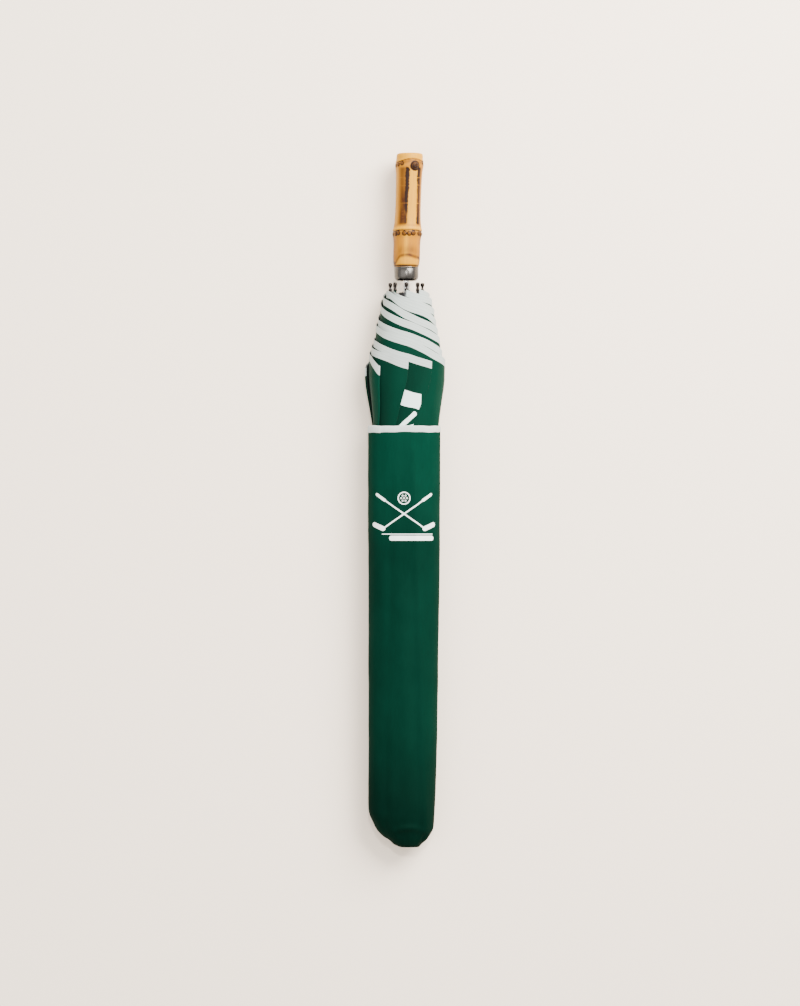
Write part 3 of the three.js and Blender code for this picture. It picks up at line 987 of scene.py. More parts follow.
    def shaft(self) -> Piece:
        """The steel tube, with a slot on its upper side for each spring catch."""
        low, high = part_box("shaft")
        outer, inner = PLACES.shaft_radius, PLACES.shaft_radius - self.tube_wall
        profile = [
            (inner, low[1]), (outer - 0.0003, low[1]), (outer, low[1] + 0.0003),
            (outer, high[1] - 0.0003), (outer - 0.0003, high[1]), (inner, high[1]), (inner, low[1] + 1e-5),
        ]
        piece = turned("steel_shaft", profile, 72)
        for catch in ("bottom_catch", "top_catch"):
            near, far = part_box(catch)
            clear_selection()
            centre = (0, (near[1] + far[1]) / 2, PLACES.shaft_z + outer)
            bpy.ops.mesh.primitive_cube_add(size=1, location=centre)
            cutter = bpy.context.object
            cutter.scale = (far[0] - near[0] + 0.0008, far[1] - near[1] + 0.001, outer)
            apply_place(cutter)
            add_modifier(cutter, "BEVEL", width=0.0003, segments=2)
            add_modifier(piece, "BOOLEAN", object=cutter, operation="DIFFERENCE", solver="EXACT")
            bpy.data.objects.remove(cutter)
        smooth(piece, 40)
        return piece

    def build(self, finishes: "Finishes") -> list[Piece]:
        """Builds and dresses the handle end.

        Args:
            finishes: The umbrella's materials.

        Returns:
            The pieces made.
        """
        parts = (
            (self.grip(), "handle_grip", finishes.bamboo, Slot.BAMBOO),
            (self.collar(), "handle_collar", finishes.gunmetal, Slot.GUNMETAL),
            (self.bush(), "collar_liner", finishes.plastic, Slot.BLACK_PLASTIC),
            (self.shaft(), "shaft", finishes.steel, Slot.BRIGHT_STEEL),
        )
        return [fit(*part, Body.FRAME.value) for part in parts]


# ---- ribs and the metal at both ends ----


@dataclass
class RibSet:
    """Where the ribs lie when closed, and the beaded tips on their ends."""

    pivot_radius: float = 0.011
    tip_radius: float = 0.022
    length: float = 0.711
    panel_angle: float = math.radians(42.906)
    tip_from: float = 0.6975

    @property
    def rest_angle(self) -> float:
        """How far a closed rib leans out from the shaft."""
        return math.asin((self.tip_radius - self.pivot_radius) / self.length)

    def axes(self, number: int) -> tuple[Vector, Vector, Vector, Vector]:
        """A rib's own directions.

        Args:
            number: The rib, from 1.

        Returns:
            Its pivot, then the directions out from it, along it and towards the next rib.
        """
        turn = 2 * math.pi / RIBS * (number - 1)
        away = Vector((math.cos(turn), 0, math.sin(turn)))
        across = Vector((-math.sin(turn), 0, math.cos(turn)))
        pivot = Vector((0, PLACES.crown, PLACES.shaft_z)) + self.pivot_radius * away
        lean = self.rest_angle
        forward = Vector((0, 1, 0))
        along = math.cos(lean) * forward + math.sin(lean) * away
        out = math.cos(lean) * away - math.sin(lean) * forward
        return pivot, out, along, across

    def radius(self, y: Array) -> Array:
        """A closed rib's distance from the shaft's axis, at places along Y."""
        share = (y - PLACES.crown) / self.length
        return self.pivot_radius + (self.tip_radius - self.pivot_radius) * share

    def tip(self, number: int) -> Piece:
        """One turned tip: a ferrule over the rib, a waist with a thread eye, and a bead."""
        s = self.tip_from
        profile = [
            (0.0, s - 0.0015), (0.00135, s - 0.0015), (0.0016, s - 0.0010), (0.0017, s + 0.0024),
            (0.0024, s + 0.0030), (0.0026, s + 0.0038), (0.0022, s + 0.0048), (0.00155, s + 0.0056),
            (0.00145, s + 0.0072), (0.0018, s + 0.0082), (0.0025, s + 0.0094), (0.0028, s + 0.0110),
            (0.0027, s + 0.0125), (0.0018, s + 0.0136), (0.0, s + 0.0139),
        ]
        piece = turned(f"tip_{number}", profile, 24)
        pivot, out, along, across = self.axes(number)
        mesh = piece.data
        for vertex in mesh.vertices:
            x, y, z = vertex.co
            vertex.co = pivot + x * out + y * along + (z - PLACES.shaft_z) * across
        outward(piece)
        smooth(piece, 45)
        return piece

    def build(self, finishes: "Finishes") -> list[Piece]:
        """Builds and dresses the eight tips; the ribs themselves are the frame's.

        Args:
            finishes: The umbrella's materials.

        Returns:
            The pieces made.
        """
        return [
            fit(self.tip(number), f"rib_tip_{number}", finishes.tip, Slot.TIP_STEEL, f"rib_arm_{number}")
            for number in range(1, RIBS + 1)
        ]


@dataclass
class CrownEnd:
    """The cap over the cloth and the turned spike beyond it."""

    cap_radius: float = 0.017

    def cap(self) -> Piece:
        """A shallow domed washer that holds the cloth to the crown."""
        low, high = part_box("canopy_cap")
        hole = 0.0053
        profile = [
            (hole, high[1]), (self.cap_radius - 0.0006, high[1]), (self.cap_radius, high[1] - 0.0006),
            (self.cap_radius - 0.0003, high[1] - 0.0012), (0.0120, low[1] + 0.0004),
            (0.0090, low[1]), (hole, low[1]), (hole, high[1] - 1e-5),
        ]
        return turned("crown_cap", profile, 64, angle=40)

    def spike(self) -> Piece:
        """The ferrule: a collar, a waist and a long blunt nose."""
        low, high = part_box("spike")
        top, end = high[1], low[1]
        profile = [
            (0.0, top), (0.0074, top), (0.0082, top - 0.0008), (0.0082, top - 0.0052),
            (0.0076, top - 0.0060), (0.0064, top - 0.0068), (0.0062, top - 0.0080), (0.0068, top - 0.0092),
            (0.0066, top - 0.0120), (0.0056, end + 0.0070), (0.0050, end + 0.0024),
            (0.0040, end + 0.0007), (0.0024, end), (0.0, end),
        ]
        return turned("ferrule_spike", profile, 48, angle=40)

    def build(self, finishes: "Finishes") -> list[Piece]:
        """Builds and dresses both pieces.

        Args:
            finishes: The umbrella's materials.

        Returns:
            The pieces made.
        """
        parts = (
            (self.cap(), "canopy_cap", finishes.plastic, Slot.BLACK_PLASTIC),
            (self.spike(), "spike", finishes.gunmetal, Slot.GUNMETAL),
        )
        return [fit(*part, Body.FRAME.value) for part in parts]


# ---- the rolled canopy ----

FULLY_WOUND = 0.178
ROLL_TOP = 0.2868


@dataclass(frozen=True)
class Flap:
    """One canopy panel, folded double and wound round the ribs.

    wrap and mouth_wrap are how far it winds, in degrees, at the hem and at the sleeve's mouth;
    hem is its edge as (degrees wound, Y); peeks are the stretches, in degrees wound, where the
    layer underneath shows above the hem. The last field is painted light: above 0 the flap is
    painted paler than its neighbours, as if lit, and below 0 darker, as painted shade.
    """

    number: int
    wrap: float
    mouth_wrap: float
    hem: Stations
    printed: bool = False
    peeks: Stations = ()
    # Painted light: paler than the other flaps above 0, painted shade below 0.
    fade: float = 0.0

    @property
    def turn(self) -> float:
        """Its rib's place round the shaft, in degrees from +X towards +Z."""
        return 360 / RIBS * (self.number - 1)


# The keyword that tones a flap is painted light: paler flaps are painted as if lit, darker ones as painted
# shade.
FLAPS = (
    Flap(
        1, 365, 346,
        (
            (0, ROLL_TOP), (150, 0.246), (216, 0.2341), (264, 0.222), (298, 0.2104), (326, 0.201),
            (366, 0.19),
        ),
        fade=0.16,
    ),
    Flap(
        2, 355, 326,
        (
            (0, ROLL_TOP), (45, 0.283), (180, 0.231), (252, 0.2163), (310, 0.2019), (342, 0.1917),
            (356, 0.1882),
        ),
        printed=True,
        fade=-0.14,
    ),
    Flap(
        3, 363, 345,
        (
            (0, ROLL_TOP), (52, 0.2786), (90, 0.2745), (230, 0.222), (290, 0.2077), (306, 0.205),
            (338, 0.1971), (364, 0.1885),
        ),
        peeks=((24, 42),),
        fade=-0.10,
    ),
    Flap(
        4, 368, 353,
        (
            (0, ROLL_TOP), (45, 0.276), (84, 0.2700), (104, 0.2664), (135, 0.2610), (225, 0.229),
            (310, 0.203), (341, 0.1958), (357, 0.1900), (369, 0.1828),
        ),
        fade=0.20,
    ),
    Flap(
        5, 362, 350,
        (
            (0, ROLL_TOP), (45, 0.2838), (101, 0.2659), (128, 0.2598), (161, 0.251), (225, 0.233),
            (330, 0.196), (363, 0.181),
        ),
        fade=-0.2,
    ),
    Flap(
        6, 360, 345,
        (
            (0, ROLL_TOP), (77, 0.2752), (106, 0.2682), (145, 0.2536), (198, 0.2392), (290, 0.216),
            (361, 0.198),
        ),
    ),
    Flap(
        7, 360, 345,
        (
            (0, ROLL_TOP), (60, 0.278), (128, 0.2602), (148, 0.2553), (190, 0.2416), (249, 0.2259),
            (361, 0.199),
        ),
        peeks=((108, 150),),
    ),
    Flap(
        8, 360, 345,
        (
            (0, ROLL_TOP), (90, 0.262), (163, 0.2437), (219, 0.2314), (255, 0.2204), (286, 0.2108),
            (361, 0.192),
        ),
    ),
)


@dataclass
class RolledCanopy:
    """Eight folded panels wound on the closed ribs, and the strap that ties them."""

    ribs: RibSet
    full_turn: float = 360.0
    rib_room: float = 0.0033
    layer_turn: float = 17.0
    edge_lift: float = 0.0027
    lift_span: float = 32.0
    hem_rows: int = 11
    hem_step: float = 0.0014
    body_rows: int = 48
    lowest: float = -0.408
    gather: float = 0.004
    cloth_radius: float = 0.040
    slope_radius: float = 0.045
    past_border: float = 0.0300
    fold_steps: int = 6
    half_width: Stations = (
        (-0.410, 0.0190), (-0.330, 0.0300), (-0.180, 0.0385), (0.000, 0.0430), (0.060, 0.0448),
        (0.101, 0.0457), (0.130, 0.0482), (0.171, 0.0522), (0.200, 0.0522), (0.223, 0.0505),
        (0.258, 0.0495), (0.290, 0.0470),
    )
    half_height: Stations = (
        (-0.410, 0.0165), (-0.330, 0.0220), (-0.180, 0.0262), (0.000, 0.0284), (0.101, 0.0290),
        (0.171, 0.0304), (0.223, 0.0306), (0.290, 0.0304),
    )
    middle: Stations = (
        (-0.410, 0.0), (0.060, -0.0016), (0.101, -0.0013), (0.171, -0.0024), (0.210, -0.0006),
        (0.290, 0.0),
    )
    wound: Stations = (
        (-0.410, 0.16), (-0.330, 0.40), (-0.060, 0.70), (0.101, 0.96), (FULLY_WOUND, 1.0),
        (0.300, 1.0),
    )

    def surface(self, turn: Array, wound: Array, y: Array) -> Array:
        """A point of the winding.

        Args:
            turn: Degrees round the shaft, from +X towards +Z.
            wound: How far that layer has wound from its rib, in degrees.
            y: The point's Y.

        Returns:
            The points, with a last axis of 3.
        """
        share = np.clip(wound / (self.full_turn * smooth_curve(self.wound, y)), 0, 1.15)
        crowding = 1.0 - 0.4 * eased(y, 0.10, 0.20)
        share = np.clip(share, 1e-4, None) ** crowding
        inner = self.ribs.radius(y) + self.rib_room
        wide, high = smooth_curve(self.half_width, y), smooth_curve(self.half_height, y)
        angle = np.radians(turn)
        c, s = np.cos(angle), np.sin(angle)
        corner = 2 / 2.25
        outer_x = wide * np.sign(c) * np.abs(c) ** corner + smooth_curve(self.middle, y)
        outer_z = high * np.sign(s) * np.abs(s) ** corner
        inner_x, inner_z = inner * c, np.minimum(inner, high * 0.97) * s
        x = inner_x + (outer_x - inner_x) * share
        z = inner_z + (outer_z - inner_z) * share
        ripple = self.ripple(turn, y) * np.clip(share * 1.4, 0, 1)
        swell = 1 + ripple / np.hypot(x, z)
        return np.stack([x * swell, y, PLACES.shaft_z + z * swell], -1)

    def ripple(self, turn: Array, y: Array) -> Array:
        """Slack that all layers share, so that they stay in order."""
        angle = np.radians(turn)
        waves = 0.0005 * np.sin(3 * angle + 21 * y + 0.8) * np.sin(17 * y + 1.1)
        waves += 0.0004 * np.sin(5 * angle - 33 * y) * np.sin(26 * y + 2.0)
        waves += 0.00025 * np.sin(9 * angle + 48 * y + 1.7)
        lower_side = eased(-np.sin(angle), 0.2, 0.7)
        return (waves - 0.0003) * (1 - lower_side)

    def wrap_at(self, flap: Flap, y: Array) -> Array:
        """How far a flap winds at places along Y, in degrees."""
        share = smooth_curve(self.wound, y)
        at_mouth = smooth_curve(self.wound, np.array([PLACES.mouth]))[0]
        change = flap.mouth_wrap / flap.wrap - at_mouth
        above = 1 - eased(y, PLACES.mouth, FULLY_WOUND)
        near = np.where(y > PLACES.mouth, above, eased(y, -0.1, PLACES.mouth))
        return flap.wrap * (share + change * near)

    def heights(self, hem: Array) -> Array:
        """Row heights for each column: close together by the hem, wider below."""
        close = np.arange(self.hem_rows)[:, None] * self.hem_step
        top = hem[None, :] - close
        start = top[-1]
        share = np.linspace(0, 1, self.body_rows + 1)[1:, None]
        return np.vstack([top, start[None, :] + (self.lowest - start[None, :]) * share])

    def layer(self, flap: Flap, t: Array, back: bool) -> tuple[Array, Array]:
        """One of a flap's two layers.

        Args:
            flap: The flap.
            t: Shares of the wrap, one for each column.
            back: True for the layer that turns back under the fold.

        Returns:
            The points and the cloth map, rows by columns.
        """
        to_fold = (1 - t) * flap.wrap
        at_hem = t * flap.wrap
        hem = smooth_curve(flap.hem, at_hem) + 0.0005 * np.sin(np.radians(at_hem) * 4 + flap.number)
        if back:
            hem = hem + self.peek(flap, at_hem) * eased(to_fold, 2, 20)
        y = self.heights(hem)
        wound = t[None, :] * self.wrap_at(flap, y)
        depth = np.clip(wound - self.layer_turn, 0, None) if back else wound
        points = self.surface(flap.turn - wound, depth, y)
        lift = self.edge_lift * (1 - eased(to_fold, 0, self.lift_span))[None, :]
        lift = lift * (0.3 + 0.7 * eased(y, PLACES.mouth, 0.165))
        lift = lift * (1 - 0.9 * eased(-np.sin(np.radians(flap.turn - wound)), 0.2, 0.7))
        if back:
            lift = 0.55 * lift
        points = points + outwards(points) * lift[..., None]
        u = np.radians(wound) * self.cloth_radius
        slope = np.gradient(hem, np.radians(np.maximum(t, 1e-4) * flap.wrap) * self.slope_radius)
        v = (hem[None, :] - y) / np.sqrt(1 + slope**2)[None, :]
        if back:
            u = 2 * np.radians(flap.wrap) * self.cloth_radius - u
            v = v + self.past_border * eased(to_fold, 1, 6)[None, :]
        return points, np.stack([u, v], -1)

    def peek(self, flap: Flap, wound: Array) -> Array:
        """How far the under layer's hem stands above the outer one's, by degrees wound."""
        showing = 1 - eased(wound, 9, 18)
        for start, end in flap.peeks:
            stretch = eased(wound, start, start + 10) * (1 - eased(wound, end - 25, end))
            showing = np.maximum(showing, stretch)
        return -0.0014 + 0.0034 * showing

    def flap(self, flap: Flap) -> Piece:
        """One panel: outer layer, round fold and layer back underneath."""
        t = 1 - (1 - np.linspace(0, 1, 76)) ** 1.25
        outer, outer_map = self.layer(flap, t, False)
        inner, inner_map = self.layer(flap, t[::-1][::2].clip(0.012, 1), True)
        edge, under = outer[:, -1], inner[:, 0]
        forward = outer[:, -1] - outer[:, -2]
        forward /= np.linalg.norm(forward, axis=-1, keepdims=True)
        middle, half = (edge + under) / 2, (edge - under) / 2
        size = np.linalg.norm(half, axis=-1, keepdims=True)
        folds, fold_maps = [], []
        for k in range(1, self.fold_steps):
            angle = math.pi * k / self.fold_steps
            folds.append(middle + math.cos(angle) * half + math.sin(angle) * size * forward)
            change = (inner_map[:, 0] - outer_map[:, -1]) * k / self.fold_steps
            fold_maps.append(outer_map[:, -1] + change)
        points = np.concatenate([outer, np.stack(folds, 1), inner], axis=1)
        maps = np.concatenate([outer_map, np.stack(fold_maps, 1), inner_map], axis=1)
        piece = cloth_mesh(f"canopy_flap_{flap.number}", points, maps)
        to_fold = np.concatenate([(1 - t) * flap.wrap, np.zeros(points.shape[1] - len(t))])
        # Painted light stored on the mesh: the flap's painted tone, plus a painted highlight over the last
        # 36 degrees before its fold edge, so the cloth just out from under the fold above stays darker as
        # painted shade.
        paler = flap.fade + 0.24 * (1 - eased(to_fold, 2, 36))
        float_attribute(piece, "fade", np.broadcast_to(paler, points.shape[:2]).ravel())
        return piece

    def strap(self) -> Piece:
        """The tie strap: a band round the roll whose end laps over itself."""
        low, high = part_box("tie_strap")
        middle = (low[1] + high[1]) / 2
        half = (high[1] - low[1]) / 2
        first, length, columns = 60, 392, 140
        turns = np.linspace(first, first - length, columns)
        across = np.array([-1, -0.96, -0.5, 0, 0.5, 0.96, 1]) * half
        wound = np.linspace(0, 1, columns)
        y = middle + across[:, None] + 0 * turns[None, :]
        points = self.surface(np.broadcast_to(turns, y.shape), np.full_like(y, 362.0), y)
        bulk = 0.0014 + 0.0007 * eased(wound, 0.90, 0.97)
        edge = np.where(np.abs(across) > 0.9 * half, -0.0004, 0)
        points = points + outwards(points) * (bulk[None, :] + edge[:, None])[..., None]
        u = np.broadcast_to(wound * 0.25, y.shape)
        v = np.broadcast_to(across[:, None] + 0.05, y.shape)
        piece = cloth_mesh("strap_band", points, np.stack([u, v], -1))
        add_modifier(piece, "SOLIDIFY", thickness=0.0006, offset=-1)
        return piece

    def build(self, finishes: "Finishes", gores: dict) -> list[Piece]:
        """Builds the roll and its tie strap.

        Args:
            finishes: The umbrella's materials.
            gores: Each rib's stretched panel, by number; not used.

        Returns:
            The pieces made.
        """
        made = []
        for flap in FLAPS:
            cloth = finishes.printed if flap.printed else finishes.canopy
            piece = fit(self.flap(flap), "canopy_roll", cloth, Slot.CANOPY, Body.FRAME.value)
            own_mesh(piece)
            made.append(piece)
        strap = fit(self.strap(), "tie_strap", finishes.strap, Slot.CANOPY, Body.FRAME.value)
        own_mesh(strap)
        return made + [strap]


@dataclass
class OpenCanopy:
    """The panels from rib to rib, built here as narrow strips along the closed ribs."""

    ribs: RibSet
    half_strip: float = 0.0014
    eye: float = 0.0115096
    hem_short: float = 0.0115
    first_row: float = 0.0145
    lift: float = 0.0028
    hollow: float = 0.028
    across: int = 28
    along: int = 44

    def panel(self, number: int) -> Piece:
        """One panel, lying along its closed rib as a strip."""
        pivot, out, along, across = (np.array(v) for v in self.ribs.axes(number))
        hinge = pivot - self.eye * along
        shares = np.linspace(0, 1, self.across + 1)
        place = 0.5 - np.sin(np.arcsin(1 - 2 * shares) / 3)
        turn = self.ribs.panel_angle * shares
        half_angle = self.ribs.panel_angle / 2
        reach = self.ribs.length - self.hem_short + self.eye
        hem = reach * math.cos(half_angle) / np.cos(turn - half_angle)
        hem = hem * (1 - self.hollow * np.sin(math.pi * shares))
        steps = np.concatenate([np.linspace(0, 0.9, self.along), np.linspace(0.915, 1, 12)])
        s = self.first_row + (hem[None, :] - self.first_row) * steps[:, None]
        w = (-self.half_strip + 2 * self.half_strip * place)[None, :] + 0 * s
        rise = self.lift + 0.0004 * (1 - eased(s, 0.02, 0.06))
        points = hinge + s[..., None] * along + w[..., None] * across + rise[..., None] * out
        u = s * turn[None, :]
        v = hem[None, :] - s
        return cloth_mesh(f"open_panel_{number}", points, np.stack([u, v], -1))

    def build(self, finishes: "Finishes") -> dict[int, Piece]:
        """Builds the eight panels.

        Args:
            finishes: The umbrella's materials.

        Returns:
            The panels by number.
        """
        made = {}
        for number in range(1, RIBS + 1):
            piece = self.panel(number)
            pivot, out, _, across = self.ribs.axes(number)
            dress(piece, f"gore_{number}", finishes.canopy)
            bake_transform(piece)
            made[number] = piece
        return made


# ---- the sleeve ----


@dataclass
class Sleeve:
    """The slip-on sleeve: a soft flat tube, puckered into its end seam, with a taped mouth."""

    columns: int = 150
    rows: int = 150
    end_rows: int = 46
    end_length: float = 0.07
    wall: float = 0.0006
    corner: float = 2.25
    gather: float = 0.06
    left: Stations = (
        (-0.4744, 0.0087), (-0.4710, 0.0169), (-0.4655, 0.0231), (-0.4600, 0.0320), (-0.4504, 0.0405),
        (-0.4436, 0.0443), (-0.4270, 0.0507), (-0.4110, 0.0517), (-0.3560, 0.0513), (-0.1640, 0.0512),
        (0.0, 0.0520), (0.0930, 0.0518), (0.1013, 0.0514),
    )
    right: Stations = (
        (-0.4744, 0.0173), (-0.4710, 0.0207), (-0.4655, 0.0255), (-0.4600, 0.0303), (-0.4504, 0.0358),
        (-0.4436, 0.0371), (-0.4270, 0.0383), (-0.4110, 0.0393), (-0.3560, 0.0412), (-0.1640, 0.0439),
        (-0.0820, 0.0453), (0.0930, 0.0460), (0.1013, 0.0458),
    )
    half_height: Stations = (
        (-0.4744, 0.0095), (-0.4710, 0.0128), (-0.4655, 0.0160), (-0.4600, 0.0182), (-0.4504, 0.0218),
        (-0.4300, 0.0266), (-0.4000, 0.0289), (-0.3000, 0.0299), (0.1013, 0.0307),
    )
    bed: Stations = (
        (-0.4744, 0.0295), (-0.4500, 0.0290), (-0.4000, 0.0296), (-0.3000, 0.0304), (0.1013, 0.0311),
    )

    def skin(self, turn: Array, y: Array, proud: Array | float = 0.0) -> Array:
        """Points on the sleeve's outside.

        Args:
            turn: Radians round, from +X towards +Z.
            y: The points' Y.
            proud: How far outside the skin they stand.

        Returns:
            The points, with a last axis of 3.
        """
        left, right = smooth_curve(self.left, y), smooth_curve(self.right, y)
        high, bed = smooth_curve(self.half_height, y), smooth_curve(self.bed, y)
        c, s = np.cos(turn), np.sin(turn)
        half = (left + right) / 2
        x = half * np.sign(c) * np.abs(c) ** (2 / self.corner) + (right - left) / 2
        z = high * np.sign(s) * np.abs(s) ** (2 / self.corner)
        nx, nz = c / half, s / high
        length = np.hypot(nx, nz)
        push = proud + self.wrinkle(turn, y, x)
        above_floor = np.maximum(bed + z + push * nz / length, 0.0002)
        return np.stack([x + push * nx / length, y + 0 * x, above_floor], -1)

    def wrinkle(self, turn: Array, y: Array, x: Array) -> Array:
        """Relief of slack cloth: long soft folds, and puckers that run up from the end seam."""
        top = eased(np.sin(turn), -0.3, 0.3)
        long_folds = 0.0013 * hump(x - 0.012 + 0.03 * y, 0.005)
        long_folds -= 0.0010 * hump(x + 0.020 - 0.02 * y, 0.006)
        long_folds += 0.0004 * np.sin(x * 260 + 6 * y) * np.sin(9 * y + 1.0)
        cross = 0.00035 * np.sin(52 * y + 60 * x) * np.sin(19 * y - 40 * x + 0.7)
        cross += 0.00022 * np.sin(131 * y + 90 * x + 2.0) * np.sin(37 * y + 1.3)
        near_end = 1 - eased(y, -0.474, -0.395)
        fan = (x - 0.004) / (0.3 + 0.7 * eased(y, -0.476, -0.40))
        pucker = 0.0005 * near_end * (0.7 * np.sin(fan * 110 + 0.9) + 0.3 * np.sin(fan * 290 + 2.1))
        pucker = pucker * eased(y, -0.4744, -0.4620)
        tuck_y = -0.4478 - 9.0 * (x - 0.004) ** 2
        tuck = 0.0025 * hump(y - tuck_y, 0.0042) * hump(x - 0.002, 0.017)
        dog_ear = 0.0016 * hump(x - 0.0215 - 0.30 * (y + 0.4660), 0.0022)
        dog_ear = dog_ear * (1 - eased(y, -0.4600, -0.4540)) * eased(y, -0.4744, -0.4715)
        lower = 1 - eased(y, -0.400, -0.120)
        from_spine, rounding = x + 0.005, 0.0025
        ridge = np.sqrt(from_spine**2 + rounding**2) - rounding
        spine = -0.045 * ridge * lower * hump(from_spine, 0.030)
        calm = eased(PLACES.mouth - y, 0.008, 0.04)
        return (long_folds + cross + spine + tuck - dog_ear) * top * calm + pucker

    def body(self) -> Piece:
        """The tube itself, with its rows closer together where it gathers into the end seam."""
        end = self.left[0][0]
        join = end + self.end_length
        fine = np.linspace(end, join, self.end_rows)
        rest = np.linspace(join, PLACES.mouth - 0.0008, self.rows - self.end_rows + 1)[1:]
        ys = np.concatenate([fine, rest])[::-1]
        turns = math.pi / 2 + np.linspace(0, 2 * math.pi, self.columns, endpoint=False)
        y = np.broadcast_to(ys[:, None], (len(ys), self.columns))
        points = self.skin(np.broadcast_to(turns, y.shape), y)
        last = points[-1]
        middle = last.mean(axis=0)
        for share, drop in ((0.90, 0.0002), (0.62, 0.0004), (0.30, 0.0005), (0.01, 0.0005)):
            closing = middle + (last - middle) * share - np.array([0, drop, 0])
            points = np.concatenate([points, closing[None]])
            ys = np.append(ys, end - (1 - share) * 0.012)
        step = np.linalg.norm(np.diff(points, axis=1, append=points[:, :1]), axis=-1)
        u = np.concatenate([np.zeros((len(ys), 1)), np.cumsum(step, axis=1)], axis=1)
        half_way = self.columns // 2
        u[:, half_way + 1:] -= u[:, -1:]
        v = np.broadcast_to((PLACES.mouth - ys)[:, None], u.shape)
        piece = cloth_mesh("sleeve_tube", points, np.stack([-u, v], -1), round_about=True)
        add_modifier(piece, "SOLIDIFY", thickness=self.wall, offset=1)
        return piece

    def tape(self) -> Piece:
        """The pale tape folded over the mouth, its end lapped on the upper left."""
        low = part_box("sleeve_binding")[0][1]
        high = PLACES.mouth + 0.0003
        section = [
            (0.0001, low), (0.0007, low + 0.0003), (0.0009, low + 0.0010), (0.0008, low + 0.0022),
            (0.0011, (low + high) / 2), (0.0010, high - 0.0016), (0.0006, high - 0.0004), (-0.0003, high),
            (-0.0013, high - 0.0005), (-0.0016, high - 0.0016), (-0.0015, (low + high) / 2), (-0.0010, low),
        ]
        turns = math.pi / 2 + np.linspace(0, 2 * math.pi, 220, endpoint=False)
        lap = np.degrees(turns)
        lapped = eased(lap, 128, 129.5) * (1 - eased(lap, 172, 184))
        rows, maps = [], []
        arc = 0.0
        for i, (proud, y) in enumerate(section):
            outer = 1.0 if i < 7 else 0.0
            wave = 0.0003 * np.sin(5 * turns + 0.6) + 0.0002 * np.sin(13 * turns)
            at = y + wave + 0.0006 * lapped * outer * (1 if i > 3 else -1)
            rows.append(self.skin(turns, at, proud + 0.0006 * lapped * outer))
            arc += abs(y - section[i - 1][1]) if i else 0.0
            around = np.linspace(0, 0.27, len(turns) + 1)
            maps.append(np.stack([around, np.full_like(around, arc)], -1))
        return cloth_mesh("mouth_tape", np.stack(rows), np.stack(maps), round_about=True)

    def build(self, finishes: "Finishes") -> list[Piece]:
        """Builds the sleeve and its tape.

        Args:
            finishes: The umbrella's materials.

        Returns:
            The pieces made.
        """
        body = fit(self.body(), "sleeve_body", finishes.sleeve, Slot.SLEEVE, Body.SLEEVE.value)
        tape = fit(self.tape(), "sleeve_binding", finishes.tape, Slot.TAPE, Body.SLEEVE.value)
        for piece in (body, tape):
            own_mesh(piece)
        return [body, tape]


# ---- the whole umbrella ----


@dataclass
class Finishes:
    """Every material on the umbrella, made once."""

    green: Colour = (0.0001, 0.0175, 0.0098)
    green_shade: Colour = (0.0001, 0.0140, 0.0078)

    def __post_init__(self) -> None:
        """Builds the materials."""
        # The canopy cloth takes painted light and shade from each flap's mesh.
        border = dict(border_width=0.0092, roughness=0.52, uses_painted_light=True)
        self.bamboo = BambooFinish().material()
        self.gunmetal = MetalFinish("plated_gunmetal", (0.085, 0.080, 0.074), 0.24).material()
        self.steel = MetalFinish("bright_steel", (0.72, 0.71, 0.69), 0.16).material()
        self.black_steel = MetalFinish("blacked_steel", (0.055, 0.055, 0.058), 0.38).material()
        self.tip = MetalFinish("dark_nickel", (0.026, 0.022, 0.020), 0.30).material()
        self.plastic = PlasticFinish("black_nylon", (0.012, 0.012, 0.013)).material()
        self.canopy = ClothFinish("canopy_pongee", self.green, self.green_shade, **border).material()
        self.printed = ClothFinish(
            "printed_pongee", self.green, self.green_shade, **border,
            marks=(canopy_print,), mark_colours=((0.60, 0.74, 0.69),),
        ).material()
        self.strap = ClothFinish("strap_webbing", self.green, self.green_shade, thread=0.0006).material()
        # The sleeve's dye is painted brighter at the mouth and darker at its end, as painted light and
        # shade.
        self.sleeve = ClothFinish(
            "sleeve_nylon", (0.0001, 0.0145, 0.0084), (0.0, 0.0112, 0.0064), roughness=0.7, sheen=0.0,
            painted_light_falloff=(1.75, 1.1, 0.66), marks=(crossed_clubs,), mark_colours=((0.72, 0.78, 0.76),),
        ).material()
        self.tape = ClothFinish(
            "mouth_tape", (0.45, 0.49, 0.475), (0.39, 0.43, 0.415), thread=0.0005, roughness=0.7
        ).material()

    def for_slot(self, slot: Slot) -> Material:
        """The material that a carried-over piece of that slot takes."""
        return {
            Slot.BAMBOO: self.bamboo,
            Slot.GUNMETAL: self.gunmetal,
            Slot.BRIGHT_STEEL: self.steel,
            Slot.BLACK_STEEL: self.black_steel,
            Slot.TIP_STEEL: self.tip,
            Slot.BLACK_PLASTIC: self.plastic,
            Slot.CANOPY: self.canopy,
            Slot.SLEEVE: self.sleeve,
            Slot.TAPE: self.tape,
        }[slot]


def dress_frame(finishes: Finishes) -> None:
    """Gives every carried-over CAD node the material of its slot."""
    for part in frame["record"]["subparts"]:
        node = frame["nodes"][part["node"]]
        node.data.materials.clear()
        node.data.materials.append(finishes.for_slot(Slot(part["material_slot"])))


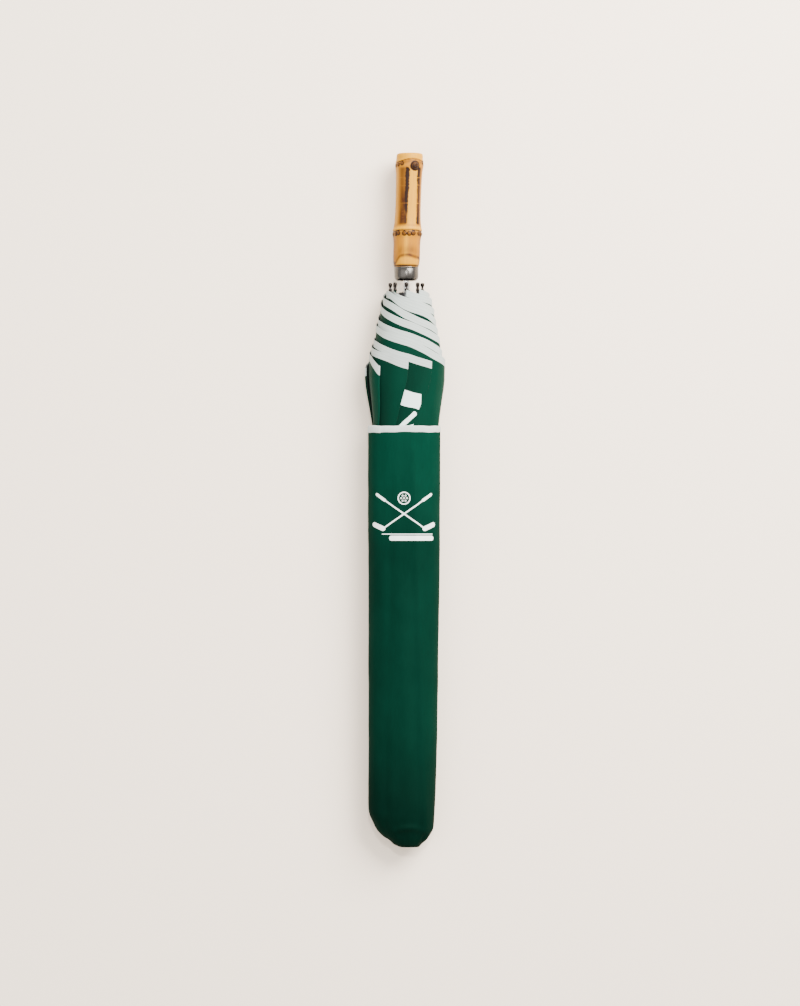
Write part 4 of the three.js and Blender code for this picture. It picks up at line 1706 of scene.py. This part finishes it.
@dataclass
class Studio:
    """The pale floor, soft light and overhead camera."""

    middle: Point = (-0.0087, -0.0041, 0.031)
    distance: float = 6.504
    lens: float = 170.0

    def camera(self) -> None:
        """Looks straight down, with the handle at the top of the frame."""
        clear_selection()
        x, y, z = self.middle
        bpy.ops.object.camera_add(location=(x, y, z + self.distance), rotation=(0, 0, 0))
        camera = bpy.context.object
        camera.data.lens = self.lens
        camera.data.sensor_width = 36.0
        camera.data.clip_end = 50.0
        bpy.context.scene.camera = camera

    def floor(self) -> None:
        """A wide pale floor with a hint of tooth."""
        clear_selection()
        bpy.ops.mesh.primitive_plane_add(size=14, location=(0, 0, -0.0004))
        piece = bpy.context.object
        piece.name = "studio_floor"
        graph = Graph("pale_floor")
        place = graph.place()
        tooth = graph.grain(place, 420.0, 3)
        broad = graph.grain(place, 1.3, 2)
        graph.set(
            Base_Color=graph.mix(broad, (0.905, 0.782, 0.648), (0.92, 0.797, 0.664)),
            Roughness=0.9,
            Specular_IOR_Level=0.2,
            Normal=graph.bump(tooth, 0.00005),
        )
        piece.data.materials.append(graph.material)

    def light(self, name: str, place: Point, size: float, power: float, colour: Colour) -> None:
        """A square soft box that faces the umbrella's middle."""
        clear_selection()
        bpy.ops.object.light_add(type="AREA", location=place)
        lamp = bpy.context.object
        lamp.name = name
        lamp.data.size = size
        lamp.data.energy = power
        lamp.data.color = colour
        aim = Vector((0, 0, 0)) - Vector(place)
        lamp.rotation_euler = aim.to_track_quat("-Z", "Y").to_euler()

    def build(self) -> None:
        """Sets out the studio."""
        self.floor()
        self.light("key_softbox", (1.50, 1.75, 1.95), 2.0, 385.0, (1.0, 0.965, 0.92))
        self.light("top_strip", (0.04, 0.7, 3.0), 0.22, 40.0, (1.0, 0.99, 0.97))
        self.light("fill_softbox", (-1.6, 0.2, 2.6), 2.4, 36.0, (1.0, 0.99, 0.98))
        world = bpy.data.worlds.new("studio_air")
        bpy.context.scene.world = world
        world.use_nodes = True
        background = world.node_tree.nodes["Background"]
        background.inputs[0].default_value = (1.0, 0.962, 0.925, 1)
        background.inputs[1].default_value = 1.5


def main() -> None:
    """Builds the studio, dresses the frame and makes each sub-assembly in turn."""
    logging.basicConfig(level=logging.INFO, format="%(name)s: %(message)s")
    studio = Studio()
    studio.camera()
    finishes = Finishes()
    dress_frame(finishes)
    ribs = RibSet()
    pieces = Handle().build(finishes)
    pieces += ribs.build(finishes)
    pieces += CrownEnd().build(finishes)
    gores = OpenCanopy(ribs).build(finishes)
    pieces += gores.values()
    pieces += RolledCanopy(ribs).build(finishes, gores)
    pieces += Sleeve().build(finishes)
    studio.build()
    for piece in pieces:
        log.info("%s: %d faces", piece.name, len(piece.data.polygons))
    clear_selection()


if __name__ == "__main__":
    main()
